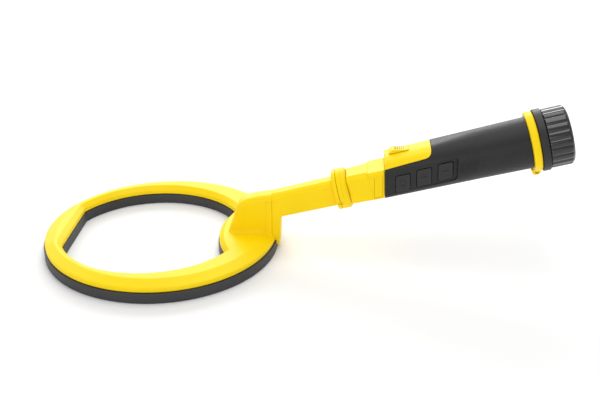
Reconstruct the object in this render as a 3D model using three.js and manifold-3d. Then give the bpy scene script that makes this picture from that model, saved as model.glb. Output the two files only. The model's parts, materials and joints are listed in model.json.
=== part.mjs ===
// Hand-held metal detector: an open D-shaped search coil on a rising arm, a grip with three keys,
// a small torch with a slide switch, a locking collar at the arm joint and a screw cap over the battery.
// Millimetres, +Z up, +X from the coil tip to the cap. The coil lies flat on the ground plane.
import * as THREE from 'three';
import Module from 'manifold-3d';
import { mergeVertices } from 'three/addons/utils/BufferGeometryUtils.js';

const wasm = await Module();
wasm.setup();

// ---------------------------------------------------------------- overall sizes
const COIL_R = 101.5; // outside radius of the search coil
const COIL_NECK_R = COIL_R - 2.2; // the same, measured on the side of the neck
const HANDLE_LENGTH = 240.4; // from the neck to the closed end of the cap, along the handle
const HANDLE_TILT = 15.13; // degrees the handle rises above the coil
const HANDLE_Z = 46.1; // height of the handle axis above the coil rim
const GAP = 0.3; // clearance between separate pieces

// ---------------------------------------------------------------- search coil
const OPENING_R = COIL_R - 24.1; // radius of the opening through the coil
const OPENING_SHIFT = -9.5; // centre of the opening, towards the tip
const OPENING_CHORD = 22.5 - COIL_R; // straight edge of the opening at the tip
const TONGUE_R = 75; // rounded tongue under the neck
const TONGUE_X = COIL_R + 22; // centre of that arc
const TRAY_H = 9; // black lower tray
const SHELL_H = 13.3; // shoulder of the yellow cover
const CROWN_H = 16.6; // highest line of the yellow cover
const CROWN_IN = 11.5; // distance of that line from the outside edge
const WALL = 2; // coil shell walls
const SOLE = 2.2; // sole of the tray
const POT_H = 11.2; // top of the potting compound
const WIND_OUT = COIL_R - 6.5; // winding, outer radius
const WIND_IN = WIND_OUT - 4; // winding, inner radius
const WIND_Z0 = 3.6;
const WIND_Z1 = 11.2;
const RING_STEPS = 60; // stations round the coil

// ---------------------------------------------------------------- neck
const ELBOW_X1 = COIL_R - 6.5; // vertical face between elbow and arm
const ELBOW_X0 = ELBOW_X1 - 37.6; // foot of the elbow over the coil
const ELBOW_W = 18.4;
const ARM_END_X = ELBOW_X1 + 7.6; // outer face of the arm bracket
const ARM_FOOT_Z = 5;
const TUBE_W = 17;
const TUBE_LOW = -14.8;
const TUBE_TOP = 6.4;
const LEAD_X = ELBOW_X1 - 20; // where the lead leaves the coil
const LEAD_R = 1.6;
const LEAD_BORE = 3.4; // radius of the channel for the lead
const SCREW_R = 1.45;
const SCREW_HEAD_R = 2.7;
const ELBOW_SCREW_X = [ELBOW_X1 - 28.5, ELBOW_X1 - 9];

// ---------------------------------------------------------------- arm joint
const JOINT_N = -4.25; // the joint axis runs this far below the handle axis
const SEAM_S = 50.6; // face of the arm flange
const FLANGE_R = 17;
const FLANGE_T = 3.4;
const SPIGOT_R = 9;
const SPIGOT_L = 16.6;
const COLLAR_L = 8.2;
const NOSE_R = 12.2;
const PLUG_S = SEAM_S - 5.6; // back of the plug in the spigot
const PLUG_R = 6.3;
const PIN_R = 0.9;
const PIN_RING = 3.4; // the three pins stand on this radius

// ---------------------------------------------------------------- handle
const BODY_S = SEAM_S + COLLAR_L + 0.5; // start of the coupling body
const STEP_S = 77.6; // coupling widens here
const PLATE_S = 83.9; // side plates of the coupling
const PLATE_N = -4.2;
const PLATE_W = 6.8;
const PLATE_H = 17.8;
const PLATE_BACK = 13.6;
const SEAM_GRIP_S = 89.9; // coupling meets the grip, at the handle axis
const LEAN = 0.22; // that seam leans by this much per mm of height
const CAP_LENGTH = 25.5;
const RING_L = 6.3; // yellow ring behind the grip
const GRIP_END_S = HANDLE_LENGTH - CAP_LENGTH - RING_L - 0.4;
const GRIP_A0 = 16; // half size of the square front of the grip
const GRIP_A1 = 21; // radius of its round rear
const SQUARE_S = 88; // the grip is square up to here
const ROUND_S = GRIP_END_S - 43.2; // and round from here
const FLARE = 0.7; // from there to its end it grows by this
const RING_R = GRIP_A1 + 3.5;
const GRIP_CORNER = 5; // corner radius of the square front
const GRIP_WALL = 2.4;
const CORE_WALL = 2;

// ---------------------------------------------------------------- keys and electronics
const KEY_S = [104, 121.6, 139.2]; // key centres along the handle
const KEY_N = [-4.35, -3.1, -2.1]; // key centres across it
const KEY_W = 12;
const KEY_H = 14.2;
const KEY_FACE = -17.1; // outer face of the keys
const KEY_BACK = -13.6;
const FLANK = -2 * GRIP_A1; // well outside the grip on the side of the keys
const FRAME_FACE = -16.3;
const FRAME_BACK = -14.2;
const BAY_S = 151; // the room for the electronics ends here
const BOARD_FACE = -9;
const BOARD_T = 1.6;
const BOARD_LOW = -0.4476 * GRIP_A1; // lower edge, clear of the rounded grip
const SWITCH_TOP = -12.6; // leaves 1 mm in front of each switch

// ---------------------------------------------------------------- battery and cap
const CELL_R = 7.25;
const CELL_L = 50;
const CELL_S = GRIP_END_S - 35.7;
const TUBE_IN = CELL_R + 0.65; // battery tube
const TUBE_OUT = TUBE_IN + 1.8;
const TUBE_RIB_R = GRIP_A1 - 5.7; // rib that centres the tube in the handle
const CAP_S = GRIP_END_S + RING_L + 0.4;
const SKIRT_R = RING_R + 0.7;
const SKIRT_L = 6;
const RIB_R = SKIRT_R - 1;
const DRUM_R = SKIRT_R - 3.3; // cap body under the ribbed shell
const RIB_DEPTH = 0.9;
const RIBS = 22;
const NECK_R = GRIP_A1 - 1.4; // threaded neck of the handle body
const NECK_L = 13.6;

// ---------------------------------------------------------------- finishes
const look = (color, roughness, metalness = 0) =>
  new THREE.MeshStandardMaterial({ color, roughness, metalness });
const YELLOW = look(0xf2c80c, 0.45);
const CHARCOAL = look(0x37373a, 0.65);
const RUBBER = look(0x2e2e30, 0.8);
const BLACK_GLOSS = look(0x1c1c1e, 0.3);
const COPPER = look(0xb87333, 0.35, 1);
const BRASS = look(0xc9a24a, 0.35, 1);
const STEEL = look(0xb8babd, 0.3, 1);
const RESIN = look(0x20242a, 0.5);
const BOARD_GREEN = look(0x1f5c35, 0.5);
const NYLON = look(0xe6e4dc, 0.6);
const CLEAR = look(0xdfe8ee, 0.08);
const CELL_BLUE = look(0x2f6fa8, 0.4);
const SEAL = look(0x8a3b2a, 0.8);

// ---------------------------------------------------------------- solids
/** One closed manifold from a geometry; inverted input is turned the right way out. */
function solid(geometry) {
  const bare = geometry.clone();
  bare.deleteAttribute('normal');
  bare.deleteAttribute('uv');
  const merged = mergeVertices(bare, 1e-4);
  const at = merged.attributes.position;
  const index = Array.from(merged.index.array);
  let volume = 0;
  const [a, b, c] = [new THREE.Vector3(), new THREE.Vector3(), new THREE.Vector3()];
  for (let i = 0; i < index.length; i += 3) {
    a.fromBufferAttribute(at, index[i]);
    b.fromBufferAttribute(at, index[i + 1]);
    c.fromBufferAttribute(at, index[i + 2]);
    volume += a.dot(b.cross(c)) / 6;
  }
  if (volume < 0) {
    for (let i = 0; i < index.length; i += 3) [index[i], index[i + 1]] = [index[i + 1], index[i]];
  }
  return new wasm.Manifold(new wasm.Mesh({
    numProp: 3,
    vertProperties: new Float32Array(at.array),
    triVerts: new Uint32Array(index),
  }));
}

/** A geometry back from a manifold. */
function geometryOf(manifold) {
  const mesh = manifold.getMesh();
  const count = mesh.numProp;
  const positions = [];
  for (let i = 0; i < mesh.vertProperties.length; i += count) {
    positions.push(mesh.vertProperties[i], mesh.vertProperties[i + 1], mesh.vertProperties[i + 2]);
  }
  return indexed(positions, Array.from(mesh.triVerts));
}

const join = (first, ...rest) => rest.reduce((sum, next) => sum.add(next), first);
const cut = (first, ...rest) => rest.reduce((sum, next) => sum.subtract(next), first);

/** Box between two corners. */
function box(x0, x1, y0, y1, z0, z1) {
  const geometry = new THREE.BoxGeometry(x1 - x0, y1 - y0, z1 - z0);
  return geometry.translate((x0 + x1) / 2, (y0 + y1) / 2, (z0 + z1) / 2);
}

/** Side profile [x, z] given a thickness from y0 to y1. */
function sidePlate(points, y0, y1) {
  const shape = new THREE.Shape(points.map(([x, z]) => new THREE.Vector2(x, z)));
  const geometry = new THREE.ExtrudeGeometry(shape, { depth: y1 - y0, bevelEnabled: false });
  return geometry.rotateX(Math.PI / 2).translate(0, y1, 0);
}

/** Cross-section [y, z] run along x from x0 to x1. */
function bar(points, x0, x1) {
  return loft([points.map(([y, z]) => [x0, y, z]), points.map(([y, z]) => [x1, y, z])]);
}

/** Solid skin over rings of equally many points; both ends are closed flat. */
function loft(given) {
  const outline = ([, y, z]) => new THREE.Vector2(y, z);
  const clockwise = THREE.ShapeUtils.isClockWise(given[0].map(outline));
  const rings = clockwise ? given.map((ring) => [...ring].reverse()) : given;
  const count = rings[0].length;
  const last = (rings.length - 1) * count;
  const index = skin(rings.length, count);
  for (const [i, j, k] of THREE.ShapeUtils.triangulateShape(rings[0].map(outline), [])) {
    index.push(i, k, j, last + i, last + j, last + k);
  }
  return indexed(rings.flat(2), index);
}

/** Triangles of the sides between rings of count points that follow one another. */
function skin(rings, count) {
  const index = [];
  for (let r = 0; r + 1 < rings; r += 1) {
    for (let i = 0; i < count; i += 1) {
      const j = (i + 1) % count;
      const [a, b, c, d] = [r * count + i, r * count + j, (r + 1) * count + j, (r + 1) * count + i];
      index.push(a, b, c, a, c, d);
    }
  }
  return index;
}

/** Triangles of the sides and of both round ends of a cable. */
function cableSkin(rings, count) {
  const index = skin(rings, count);
  const last = (rings - 1) * count;
  for (let i = 1; i + 1 < count; i += 1) index.push(0, i + 1, i, last, last + i, last + i + 1);
  return index;
}

/** Geometry from flat positions and an index. */
function indexed(positions, index) {
  const geometry = new THREE.BufferGeometry();
  geometry.setAttribute('position', new THREE.Float32BufferAttribute(positions, 3));
  geometry.setIndex(index);
  return geometry;
}

/** Turned piece about an axis along x; profile of [x, radius], moved to (y, z). */
function turned(profile, y = 0, z = 0, steps = 24) {
  const points = profile.map(([x, r]) => new THREE.Vector2(r, x));
  const geometry = new THREE.LatheGeometry(points, steps);
  return geometry.rotateZ(-Math.PI / 2).translate(0, y, z);
}

/** Plain rod along x. */
const rod = (x0, x1, r, y = 0, z = 0, steps = 24) =>
  turned([[x0, 0], [x0, r], [x1, r], [x1, 0]], y, z, steps);

/** Tube along x, open at both ends. */
const pipe = (x0, x1, rIn, rOut, y = 0, z = 0, steps = 24) =>
  turned([[x0, rIn], [x0, rOut], [x1, rOut], [x1, rIn], [x0, rIn]], y, z, steps);

/** Upright rod. */
function post(z0, z1, r, x = 0, y = 0, steps = 16) {
  const geometry = new THREE.CylinderGeometry(r, r, z1 - z0, steps);
  return geometry.rotateX(Math.PI / 2).translate(x, y, (z0 + z1) / 2);
}

/** Rod along y. */
function crossRod(y0, y1, r, x, z, steps = 16) {
  const geometry = new THREE.CylinderGeometry(r, r, y1 - y0, steps);
  return geometry.translate(x, (y0 + y1) / 2, z);
}

/** Square with rounded corners as [y, z]; half is its half size. */
function roundedSquare(half, corner, steps = 5, z = 0) {
  const points = [];
  for (let quarter = 0; quarter < 4; quarter += 1) {
    const cy = [1, -1, -1, 1][quarter] * (half - corner);
    const cz = [1, 1, -1, -1][quarter] * (half - corner);
    for (let i = 0; i <= steps; i += 1) {
      const angle = (quarter + i / steps) * Math.PI / 2;
      points.push([cy + corner * Math.cos(angle), z + cz + corner * Math.sin(angle)]);
    }
  }
  return points;
}

/** Leaning rectangle with cut corners in [s, n], as the keys and side plates have it. */
function leaning(s, n, width, height, corner) {
  const [w, h] = [width / 2, height / 2];
  const outline = [
    [-w + corner, -h], [w - corner, -h], [w, -h + corner], [w, h - corner],
    [w - corner, h], [-w + corner, h], [-w, h - corner], [-w, -h + corner],
  ];
  return outline.map(([u, v]) => [s + u + LEAN * v, n + v]);
}

/** Round cable along a path of points, ends closed. */
function cable(path, radius, sides = 8) {
  const rings = path.map((at, i) => {
    const before = path[Math.max(i - 1, 0)];
    const after = path[Math.min(i + 1, path.length - 1)];
    const along = new THREE.Vector3().subVectors(after, before).normalize();
    const across = new THREE.Vector3(0, 1, 0);
    const up = new THREE.Vector3().crossVectors(along, across).normalize();
    const side = new THREE.Vector3().crossVectors(up, along).normalize();
    return Array.from({ length: sides }, (_, k) => {
      const angle = k / sides * Math.PI * 2;
      return at.clone()
        .addScaledVector(side, radius * Math.cos(angle))
        .addScaledVector(up, radius * Math.sin(angle));
    });
  });
  return indexed(rings.flat().flatMap((v) => [v.x, v.y, v.z]), cableSkin(rings.length, sides));
}

// ---------------------------------------------------------------- coil outline
/** Outside radius of the coil in the direction of an angle. */
function outerRadius(angle) {
  const [c, s] = [Math.cos(angle), Math.sin(angle)];
  const along = c > 0 ? COIL_NECK_R : COIL_R;
  return 1 / Math.hypot(c / along, s / COIL_R);
}

/** Radius of the opening: circle, straight tip edge and tongue, whichever comes first. */
function innerRadius(angle) {
  const [c, s] = [Math.cos(angle), Math.sin(angle)];
  const onto = OPENING_SHIFT * c;
  let radius = onto + Math.sqrt(onto ** 2 + OPENING_R ** 2 - OPENING_SHIFT ** 2);
  if (c < 0) radius = Math.min(radius, OPENING_CHORD / c);
  const toTongue = TONGUE_X * c;
  const under = toTongue ** 2 + TONGUE_R ** 2 - TONGUE_X ** 2;
  if (c > 0 && under > 0) radius = Math.min(radius, toTongue - Math.sqrt(under));
  return radius;
}

/** Angles of the stations round the coil, with one exactly at each corner of the opening. */
function stations() {
  const chordY = Math.sqrt(OPENING_R ** 2 - (OPENING_CHORD - OPENING_SHIFT) ** 2);
  const chord = Math.atan2(chordY, OPENING_CHORD);
  const span = TONGUE_X - OPENING_SHIFT;
  const along = (span ** 2 + OPENING_R ** 2 - TONGUE_R ** 2) / (2 * span);
  const tongue = Math.atan2(Math.sqrt(OPENING_R ** 2 - along ** 2), OPENING_SHIFT + along);
  const corners = [chord, tongue, 2 * Math.PI - chord, 2 * Math.PI - tongue];
  const step = 2 * Math.PI / RING_STEPS;
  const even = Array.from({ length: RING_STEPS }, (_, i) => (i + 0.5) * step);
  const kept = even.filter((a) => corners.every((corner) => Math.abs(a - corner) > 0.4 * step));
  return [...kept, ...corners].sort((a, b) => a - b);
}

const out = (inward, z) => ({ from: 'out', by: inward, z });
const inn = (outward, z) => ({ from: 'in', by: outward, z });
const at = (radius, z) => ({ from: 'centre', by: radius, z });

/** Closed ring that follows the coil outline; the profile runs once round its section. */
function coilRing(profile) {
  const angles = stations();
  const ringAt = (angle) => profile.flatMap(({ from, by, z }) => {
    const reach = { out: outerRadius(angle) - by, in: innerRadius(angle) + by, centre: by }[from];
    return [reach * Math.cos(angle), reach * Math.sin(angle), z];
  });
  const positions = [...angles, angles[0]].flatMap(ringAt);
  return indexed(positions, skin(angles.length + 1, profile.length));
}

/** Everything under the coil's surface, grown by a gap: cut from what sits on the coil. */
const coilEnvelope = (gap) => coilRing([
  inn(-gap, -5), out(-gap, -5), out(-gap, SHELL_H + gap),
  out(CROWN_IN, CROWN_H + gap), inn(-gap, SHELL_H + gap),
]);

// ---------------------------------------------------------------- placing
const TILT = THREE.MathUtils.degToRad(HANDLE_TILT);
const ORIGIN_X = COIL_R;
/** From handle coordinates (s along, y across, n up from the axis) to the ground frame. */
const HANDLE = new THREE.Matrix4()
  .makeTranslation(ORIGIN_X, 0, HANDLE_Z)
  .multiply(new THREE.Matrix4().makeRotationY(-TILT));
const inHandle = (geometry) => geometry.clone().applyMatrix4(HANDLE);
const handlePoint = (s, y, n) => new THREE.Vector3(s, y, n).applyMatrix4(HANDLE);

const group = new THREE.Group();
group.name = 'metal_detector';

/** Adds one named piece; onHandle pieces are modelled in handle coordinates. */
function piece(name, body, material, onHandle = false) {
  const geometry = geometryOf(body.isBufferGeometry ? solid(body) : body);
  const placed = onHandle ? inHandle(geometry) : geometry;
  const mesh = new THREE.Mesh(placed, material);
  mesh.name = name;
  group.add(mesh);
}

// ================================================================ search head
const elbowScrewHoles = (r) => ELBOW_SCREW_X.map((x) => solid(post(-1, 27, r, x)));

function buildTray() {
  const tray = solid(coilRing([
    inn(0.8, 0), out(0.8, 0), out(0, 0.8), out(0, TRAY_H), out(WALL, TRAY_H), out(WALL, SOLE),
    inn(WALL, SOLE), inn(WALL, TRAY_H), inn(0, TRAY_H), inn(0, 0.8),
  ]));
  const bosses = ELBOW_SCREW_X.map((x) => solid(post(1, 6, 4.6, x)));
  const heads = ELBOW_SCREW_X.map((x) => solid(post(-1, 3, SCREW_HEAD_R + 0.5, x)));
  piece('coil_tray', cut(join(tray, ...bosses), ...heads, ...elbowScrewHoles(SCREW_R + 0.45)), CHARCOAL);
}

function buildCover() {
  const [lip, skin] = [WALL + GAP, WALL + GAP + 1.5];
  const cover = solid(coilRing([
    out(0.7, TRAY_H + GAP), out(0.7, SHELL_H), out(CROWN_IN, CROWN_H), inn(0.9, SHELL_H),
    inn(0.9, TRAY_H + GAP), inn(lip, TRAY_H + GAP), inn(lip, 7), inn(skin, 7),
    inn(skin, SHELL_H - 1.5), out(CROWN_IN, CROWN_H - 2), out(skin, SHELL_H - 1.5),
    out(skin, 7), out(lip, 7), out(lip, TRAY_H + GAP),
  ]));
  const leadHole = solid(post(5, 30, 4, LEAD_X));
  piece('coil_cover', cut(cover, leadHole, ...elbowScrewHoles(SCREW_R + 0.45)), YELLOW);
}

function buildCoilInside() {
  const edge = WALL + GAP;
  const inset = edge + 1.5 + GAP;
  const potting = solid(coilRing([
    inn(edge, SOLE + GAP), out(edge, SOLE + GAP), out(edge, 6.7), at(WIND_OUT + GAP, 6.7),
    at(WIND_OUT + GAP, WIND_Z0 - GAP), at(WIND_IN - GAP, WIND_Z0 - GAP), at(WIND_IN - GAP, POT_H),
    inn(inset, POT_H), inn(inset, 6.7), inn(edge, 6.7),
  ]));
  const holes = ELBOW_SCREW_X.map((x) => solid(post(-1, 20, 5, x)));
  piece('coil_potting', cut(potting, ...holes), RESIN);
  const winding = turnedUpright([
    [WIND_IN, WIND_Z0], [WIND_OUT, WIND_Z0], [WIND_OUT, WIND_Z1], [WIND_IN, WIND_Z1],
  ]);
  piece('coil_winding', winding, COPPER);
}

/** Ring turned about the vertical axis from [radius, z] corners. */
function turnedUpright(corners, steps = 48) {
  const points = [...corners, corners[0]].map(([r, z]) => new THREE.Vector2(r, z));
  return new THREE.LatheGeometry(points, steps).rotateX(Math.PI / 2);
}

function buildElbow() {
  const side = sidePlate([
    [ELBOW_X0, 11], [ELBOW_X1, 11], [ELBOW_X1, 50.4], [ELBOW_X1 - 11, 48.8],
    [ELBOW_X1 - 21, 46.4], [ELBOW_X1 - 27.4, 43.2],
    [ELBOW_X0, 15],
  ], -ELBOW_W / 2, ELBOW_W / 2);
  const w = ELBOW_W / 2;
  const front = bar([
    [-w, 5], [w, 5], [w, 42.5], [w - 1.4, 45.6], [w - 4, 48.4], [w - 6.8, 50],
    [6.8 - w, 50], [4 - w, 48.4], [1.4 - w, 45.6], [-w, 42.5],
  ], ELBOW_X0 - 5, ELBOW_X1 + 5);
  const bored = cut(
    solid(side).intersect(solid(front)),
    solid(coilEnvelope(GAP)),
    solid(post(5, channelZ(LEAD_X), LEAD_BORE, LEAD_X)),
    solid(inHandle(rod(channelS(LEAD_X) - 2.5, channelS(ELBOW_X1 + 8), LEAD_BORE, 0, JOINT_N, 16))),
    ...elbowScrewHoles(SCREW_R + GAP),
  );
  piece('neck_elbow', bored, YELLOW);
}

/** Position along the handle at which the channel axis reaches x, and its height there. */
function channelS(x) {
  return (x - ORIGIN_X + JOINT_N * Math.sin(TILT)) / Math.cos(TILT);
}
function channelZ(x) {
  return handlePoint(channelS(x), 0, JOINT_N).z;
}

function buildArm() {
  const w = TUBE_W / 2;
  const tubeSection = (grow) => [
    [-w - grow, TUBE_LOW + 1.6], [-w - grow + 1.6, TUBE_LOW - grow], [w + grow - 1.6, TUBE_LOW - grow],
    [w + grow, TUBE_LOW + 1.6], [w + grow, 2.6], [w + grow - 1.4, 5], [w - 4, TUBE_TOP + grow],
    [4 - w, TUBE_TOP + grow], [-w - grow + 1.4, 5], [-w - grow, 2.6],
  ];
  const tube = loft([
    tubeSection(0).map(([y, n]) => [-12, y, n]),
    tubeSection(0.3).map(([y, n]) => [SEAM_S - FLANGE_T + 1, y, n]),
  ]);
  const flange = turned([
    [SEAM_S - FLANGE_T, 0], [SEAM_S - FLANGE_T, FLANGE_R - 1], [SEAM_S - FLANGE_T + 1, FLANGE_R],
    [SEAM_S, FLANGE_R], [SEAM_S, SPIGOT_R], [SEAM_S + 8, SPIGOT_R], [SEAM_S + 8, SPIGOT_R - 1.2],
    [SEAM_S + 10.4, SPIGOT_R - 1.2], [SEAM_S + 10.4, SPIGOT_R], [SEAM_S + SPIGOT_L - 1, SPIGOT_R],
    [SEAM_S + SPIGOT_L, SPIGOT_R - 1], [SEAM_S + SPIGOT_L, 0],
  ], 0, JOINT_N, 36);
  const bracket = sidePlate([
    [ELBOW_X1 + GAP, ARM_FOOT_Z], [ARM_END_X - 0.6, ARM_FOOT_Z], [ARM_END_X, 20],
    [ARM_END_X, 49], [ELBOW_X1 + GAP, 49],
  ], -w, w);
  const rounding = bar([
    [-w, 0], [w, 0], [w, 43], [w - 1.4, 46], [w - 4, 48.6], [4 - w, 48.6], [1.4 - w, 46], [-w, 43],
  ], ELBOW_X1 - 5, ARM_END_X + 5);
  const trimmed = cut(
    join(solid(inHandle(tube)), solid(inHandle(flange)), solid(bracket).intersect(solid(rounding))),
    solid(box(0, ELBOW_X1 + GAP, -30, 30, 0, 90)),
    solid(coilEnvelope(GAP + 0.1)),
    solid(inHandle(rod(-20, PLUG_S - 3, LEAD_BORE, 0, JOINT_N, 16))),
    solid(inHandle(rod(PLUG_S - 3.2, SEAM_S + SPIGOT_L + 1, PLUG_R + GAP, 0, JOINT_N))),
    solid(inHandle(box(SEAM_S - 1.6, SEAM_S + 1, -FLANGE_R - 1, -FLANGE_R + 1.4, -12, -9))),
  );
  piece('neck_arm', trimmed, YELLOW);
}

function buildHeadInside() {
  const end = SEAM_S + SPIGOT_L;
  const pinAngles = [90, 210, 330].map((degrees) => THREE.MathUtils.degToRad(degrees));
  const pinAt = pinAngles.map((a) => [PIN_RING * Math.cos(a), JOINT_N + PIN_RING * Math.sin(a)]);
  const bores = pinAt.map(([y, n]) => solid(rod(PLUG_S - 1, end + 2, PIN_R + GAP, y, n, 12)));
  const plug = cut(solid(rod(PLUG_S, end - 1, PLUG_R, 0, JOINT_N)), ...bores);
  piece('plug_block', plug, NYLON, true);
  pinAt.forEach(([y, n], i) => {
    piece(`contact_pin_${i + 1}`, turned([
      [PLUG_S + 1, 0], [PLUG_S + 1, PIN_R], [end + 4.2, PIN_R], [end + 4.9, 0.4], [end + 4.9, 0],
    ], y, n, 10), BRASS, true);
  });
  piece('spigot_o_ring', seal(SEAM_S + 9.2, SPIGOT_R - 0.48, 0.65, JOINT_N), SEAL, true);
  const turn = new THREE.CatmullRomCurve3([
    new THREE.Vector3(LEAD_X, 0, POT_H + 0.6),
    new THREE.Vector3(LEAD_X, 0, channelZ(LEAD_X) - 7),
    new THREE.Vector3(LEAD_X + 1.2, 0, channelZ(LEAD_X) - 2.4),
    handlePoint(channelS(LEAD_X) + 6, 0, JOINT_N),
    handlePoint(0, 0, JOINT_N),
    handlePoint(PLUG_S - 0.4, 0, JOINT_N),
  ], false, 'centripetal');
  piece('coil_lead', cable(turn.getPoints(22), LEAD_R), CHARCOAL);
  ELBOW_SCREW_X.forEach((x, i) => {
    const profile = [
      [0, 0.5], [SCREW_HEAD_R, 0.5], [SCREW_HEAD_R, 2.1], [SCREW_R, 2.8],
      [SCREW_R, 24], [0.5, 26], [0, 26],
    ];
    const points = profile.map(([r, z]) => new THREE.Vector2(r, z));
    const screw = new THREE.LatheGeometry(points, 12).rotateX(Math.PI / 2);
    piece(`elbow_screw_${i + 1}`, screw.translate(x, 0, 0), STEEL);
  });
}

/** O-ring on an axis along x. */
function seal(s, radius, thick, n = 0, steps = 28) {
  const profile = Array.from({ length: 6 }, (_, i) => {
    const angle = i / 5 * Math.PI * 2;
    return [s + thick * Math.sin(angle), radius + thick * Math.cos(angle)];
  });
  profile[5] = [...profile[0]];
  return turned(profile, 0, n, steps);
}

// ================================================================ handle
/** Coupling section: half width, width of the flat top, height of the side edge and of the top. */
const couplingSection = (w, top, edge, high, low) => [
  [1.4 - w, low], [w - 1.4, low], [w, low + 1.4], [w, edge], [top, high], [-top, high],
  [-w, edge], [-w, low + 1.4],
];

/** Half size and corner radius of the grip at a place along it, less an inset. */
function gripSection(s, inset) {
  const share = Math.min(Math.max((s - SQUARE_S) / (ROUND_S - SQUARE_S), 0), 1);
  const tail = Math.max((s - ROUND_S) / (GRIP_END_S - ROUND_S), 0);
  const round = GRIP_A1 - FLARE;
  const half = GRIP_A0 + (round - GRIP_A0) * share + FLARE * tail - inset;
  const corner = GRIP_CORNER + (round - GRIP_CORNER) * share + FLARE * tail - inset;
  return roundedSquare(half, Math.min(Math.max(corner, 1.5), half - 0.1));
}
const GRIP_STOPS = [80, SQUARE_S, 108, 130, ROUND_S - 15, ROUND_S];
const gripLoft = (inset, from, to) => {
  const inside = GRIP_STOPS.filter((s) => s > from + 1 && s < to - 1);
  return loft([from, ...inside, to].map((s) => gripSection(s, inset).map(([y, n]) => [s, y, n])));
};
const seamS = (n, shift = 0) => SEAM_GRIP_S + LEAN * n + shift;

/** Everything in front of the leaning seam, or behind it. */
const beforeSeam = (shift) => sidePlate([
  [seamS(-40, shift), -40], [seamS(40, shift), 40], [0, 40], [0, -40],
], -40, 40);

/** Side outline of the torch housing on top of the handle, grown by a gap. */
const humpSide = (gap) => [
  [seamS(10, 0.3 - gap), 10.4 - gap], [126.4, 12.3 - gap], [130.4 + gap * 0.7, 14.2 - gap * 0.7],
  [132 + gap, 17.4], [132 + gap, 26], [seamS(26, 0.3 - gap), 26],
];
const framePanel = (gap) => [
  [seamS(-12.4, 2.6 - gap), -12.4 - gap], [144.6 + gap, -10.9 - gap], [147.4 + gap, -9.2],
  [151 + gap, 6.6], [149.4 + gap, 8.4 + gap], [seamS(7.6, 2.6 - gap), 7.6 + gap],
];

function buildCore() {
  const front = loft([
    couplingSection(12.8, 8.6, 6.3, 8.7, -15).map(([y, n]) => [BODY_S, y, n]),
    couplingSection(14.2, 10, 5.8, 9.15, -15).map(([y, n]) => [STEP_S, y, n]),
  ]);
  const wide = bar(couplingSection(14.9, 13.1, 7.4, 9.2, -14.9), STEP_S - 1, 100);
  const skin = GRIP_WALL + GAP;
  const ringS = GRIP_END_S + 0.2;
  const rear = turned([
    [ringS, 0], [ringS, RING_R - 0.8], [ringS + 0.8, RING_R], [ringS + RING_L - 0.8, RING_R],
    [ringS + RING_L, RING_R - 0.8], [ringS + RING_L, NECK_R], [ringS + RING_L + 2, NECK_R],
    [ringS + RING_L + 2, NECK_R - 1.4], [ringS + RING_L + 4.4, NECK_R - 1.4],
    [ringS + RING_L + 4.4, NECK_R], [ringS + RING_L + NECK_L - 1, NECK_R],
    [ringS + RING_L + NECK_L, NECK_R - 1], [ringS + RING_L + NECK_L, 0],
  ], 0, 0, 36);
  const lug = sidePlate([
    [ringS - 1.5, 2.1 - RING_R], [ringS - 1.5, -RING_R - 1.1], [ringS + 0.2, -RING_R - 3.4],
    [ringS + 4, -RING_R - 3.4], [ringS + 5.4, -RING_R - 1.7], [ringS + 5.4, 2.1 - RING_R],
  ], -4.2, 4.2);
  const body = join(
    solid(turned([[SEAM_S + 0.3, 0], [SEAM_S + 0.3, NOSE_R], [BODY_S + 1, NOSE_R], [BODY_S + 1, 0]],
      0, JOINT_N, 36)),
    solid(front),
    solid(wide).intersect(solid(beforeSeam(0))),
    solid(gripLoft(skin, 84, ringS + 1)).subtract(solid(beforeSeam(-0.5))),
    solid(rear),
    solid(lug).subtract(solid(box(ringS - 8, ringS - 0.3, -9, 9, -RING_R - 1.5, 4.5 - RING_R))),
  );
  const platePocket = leaning(PLATE_S, PLATE_N, PLATE_W + 2 * GAP, PLATE_H + 2 * GAP, 0.8);
  const keyWindow = box(KEY_S[0] - KEY_W / 2 - 2.6, KEY_S[2] + KEY_W / 2 + 2, FLANK, -10, -12.2, 5.8);
  const frontRoof = solid(beforeSeam(1.6)).intersect(solid(box(80, 100, -30, 30, 7.2, 30)));
  const bored = cut(
    body,
    solid(rod(SEAM_S - 1, 86, SPIGOT_R + 0.3, 0, JOINT_N)),
    solid(gripLoft(skin + CORE_WALL, 83, BAY_S + 1)).subtract(frontRoof),
    solid(turned([
      [BAY_S, 0], [BAY_S, GRIP_A1 - 7.6], [ROUND_S, GRIP_A1 - 5.8], [ringS + 3.6, NECK_R - 3.8],
      [ringS + 23.6, NECK_R - 3.8], [ringS + 23.6, 0],
    ])),
    solid(box(92, BAY_S + 1, FLANK, FRAME_BACK + GAP, -30, 30)),
    solid(keyWindow),
    solid(sidePlate(platePocket, -20, GAP - PLATE_BACK)),
    solid(sidePlate(platePocket, PLATE_BACK - GAP, 20)),
    solid(crossRod(-6, 6, 1.6, ringS + 2.2, -RING_R - 1, 12)),
    solid(beforeSeam(0)).intersect(solid(box(80, 100, -30, 30, 9.2, 30))),
    solid(box(85, 131, -8.6, 8.6, 12.5, 30)),
    solid(box(97, 112, -3, 3, 8, 16)),
  );
  piece('handle_core', bored, YELLOW, true);
}

function buildGrip() {
  const sleeve = cut(
    solid(gripLoft(0, 84, GRIP_END_S)),
    solid(beforeSeam(GAP)),
    solid(gripLoft(GRIP_WALL, 80, GRIP_END_S + 5)),
    solid(sidePlate(humpSide(GAP), -40, 40)),
    solid(sidePlate(framePanel(GAP), -40, -8)),
  );
  piece('grip_sleeve', sleeve, RUBBER, true);
}

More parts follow.
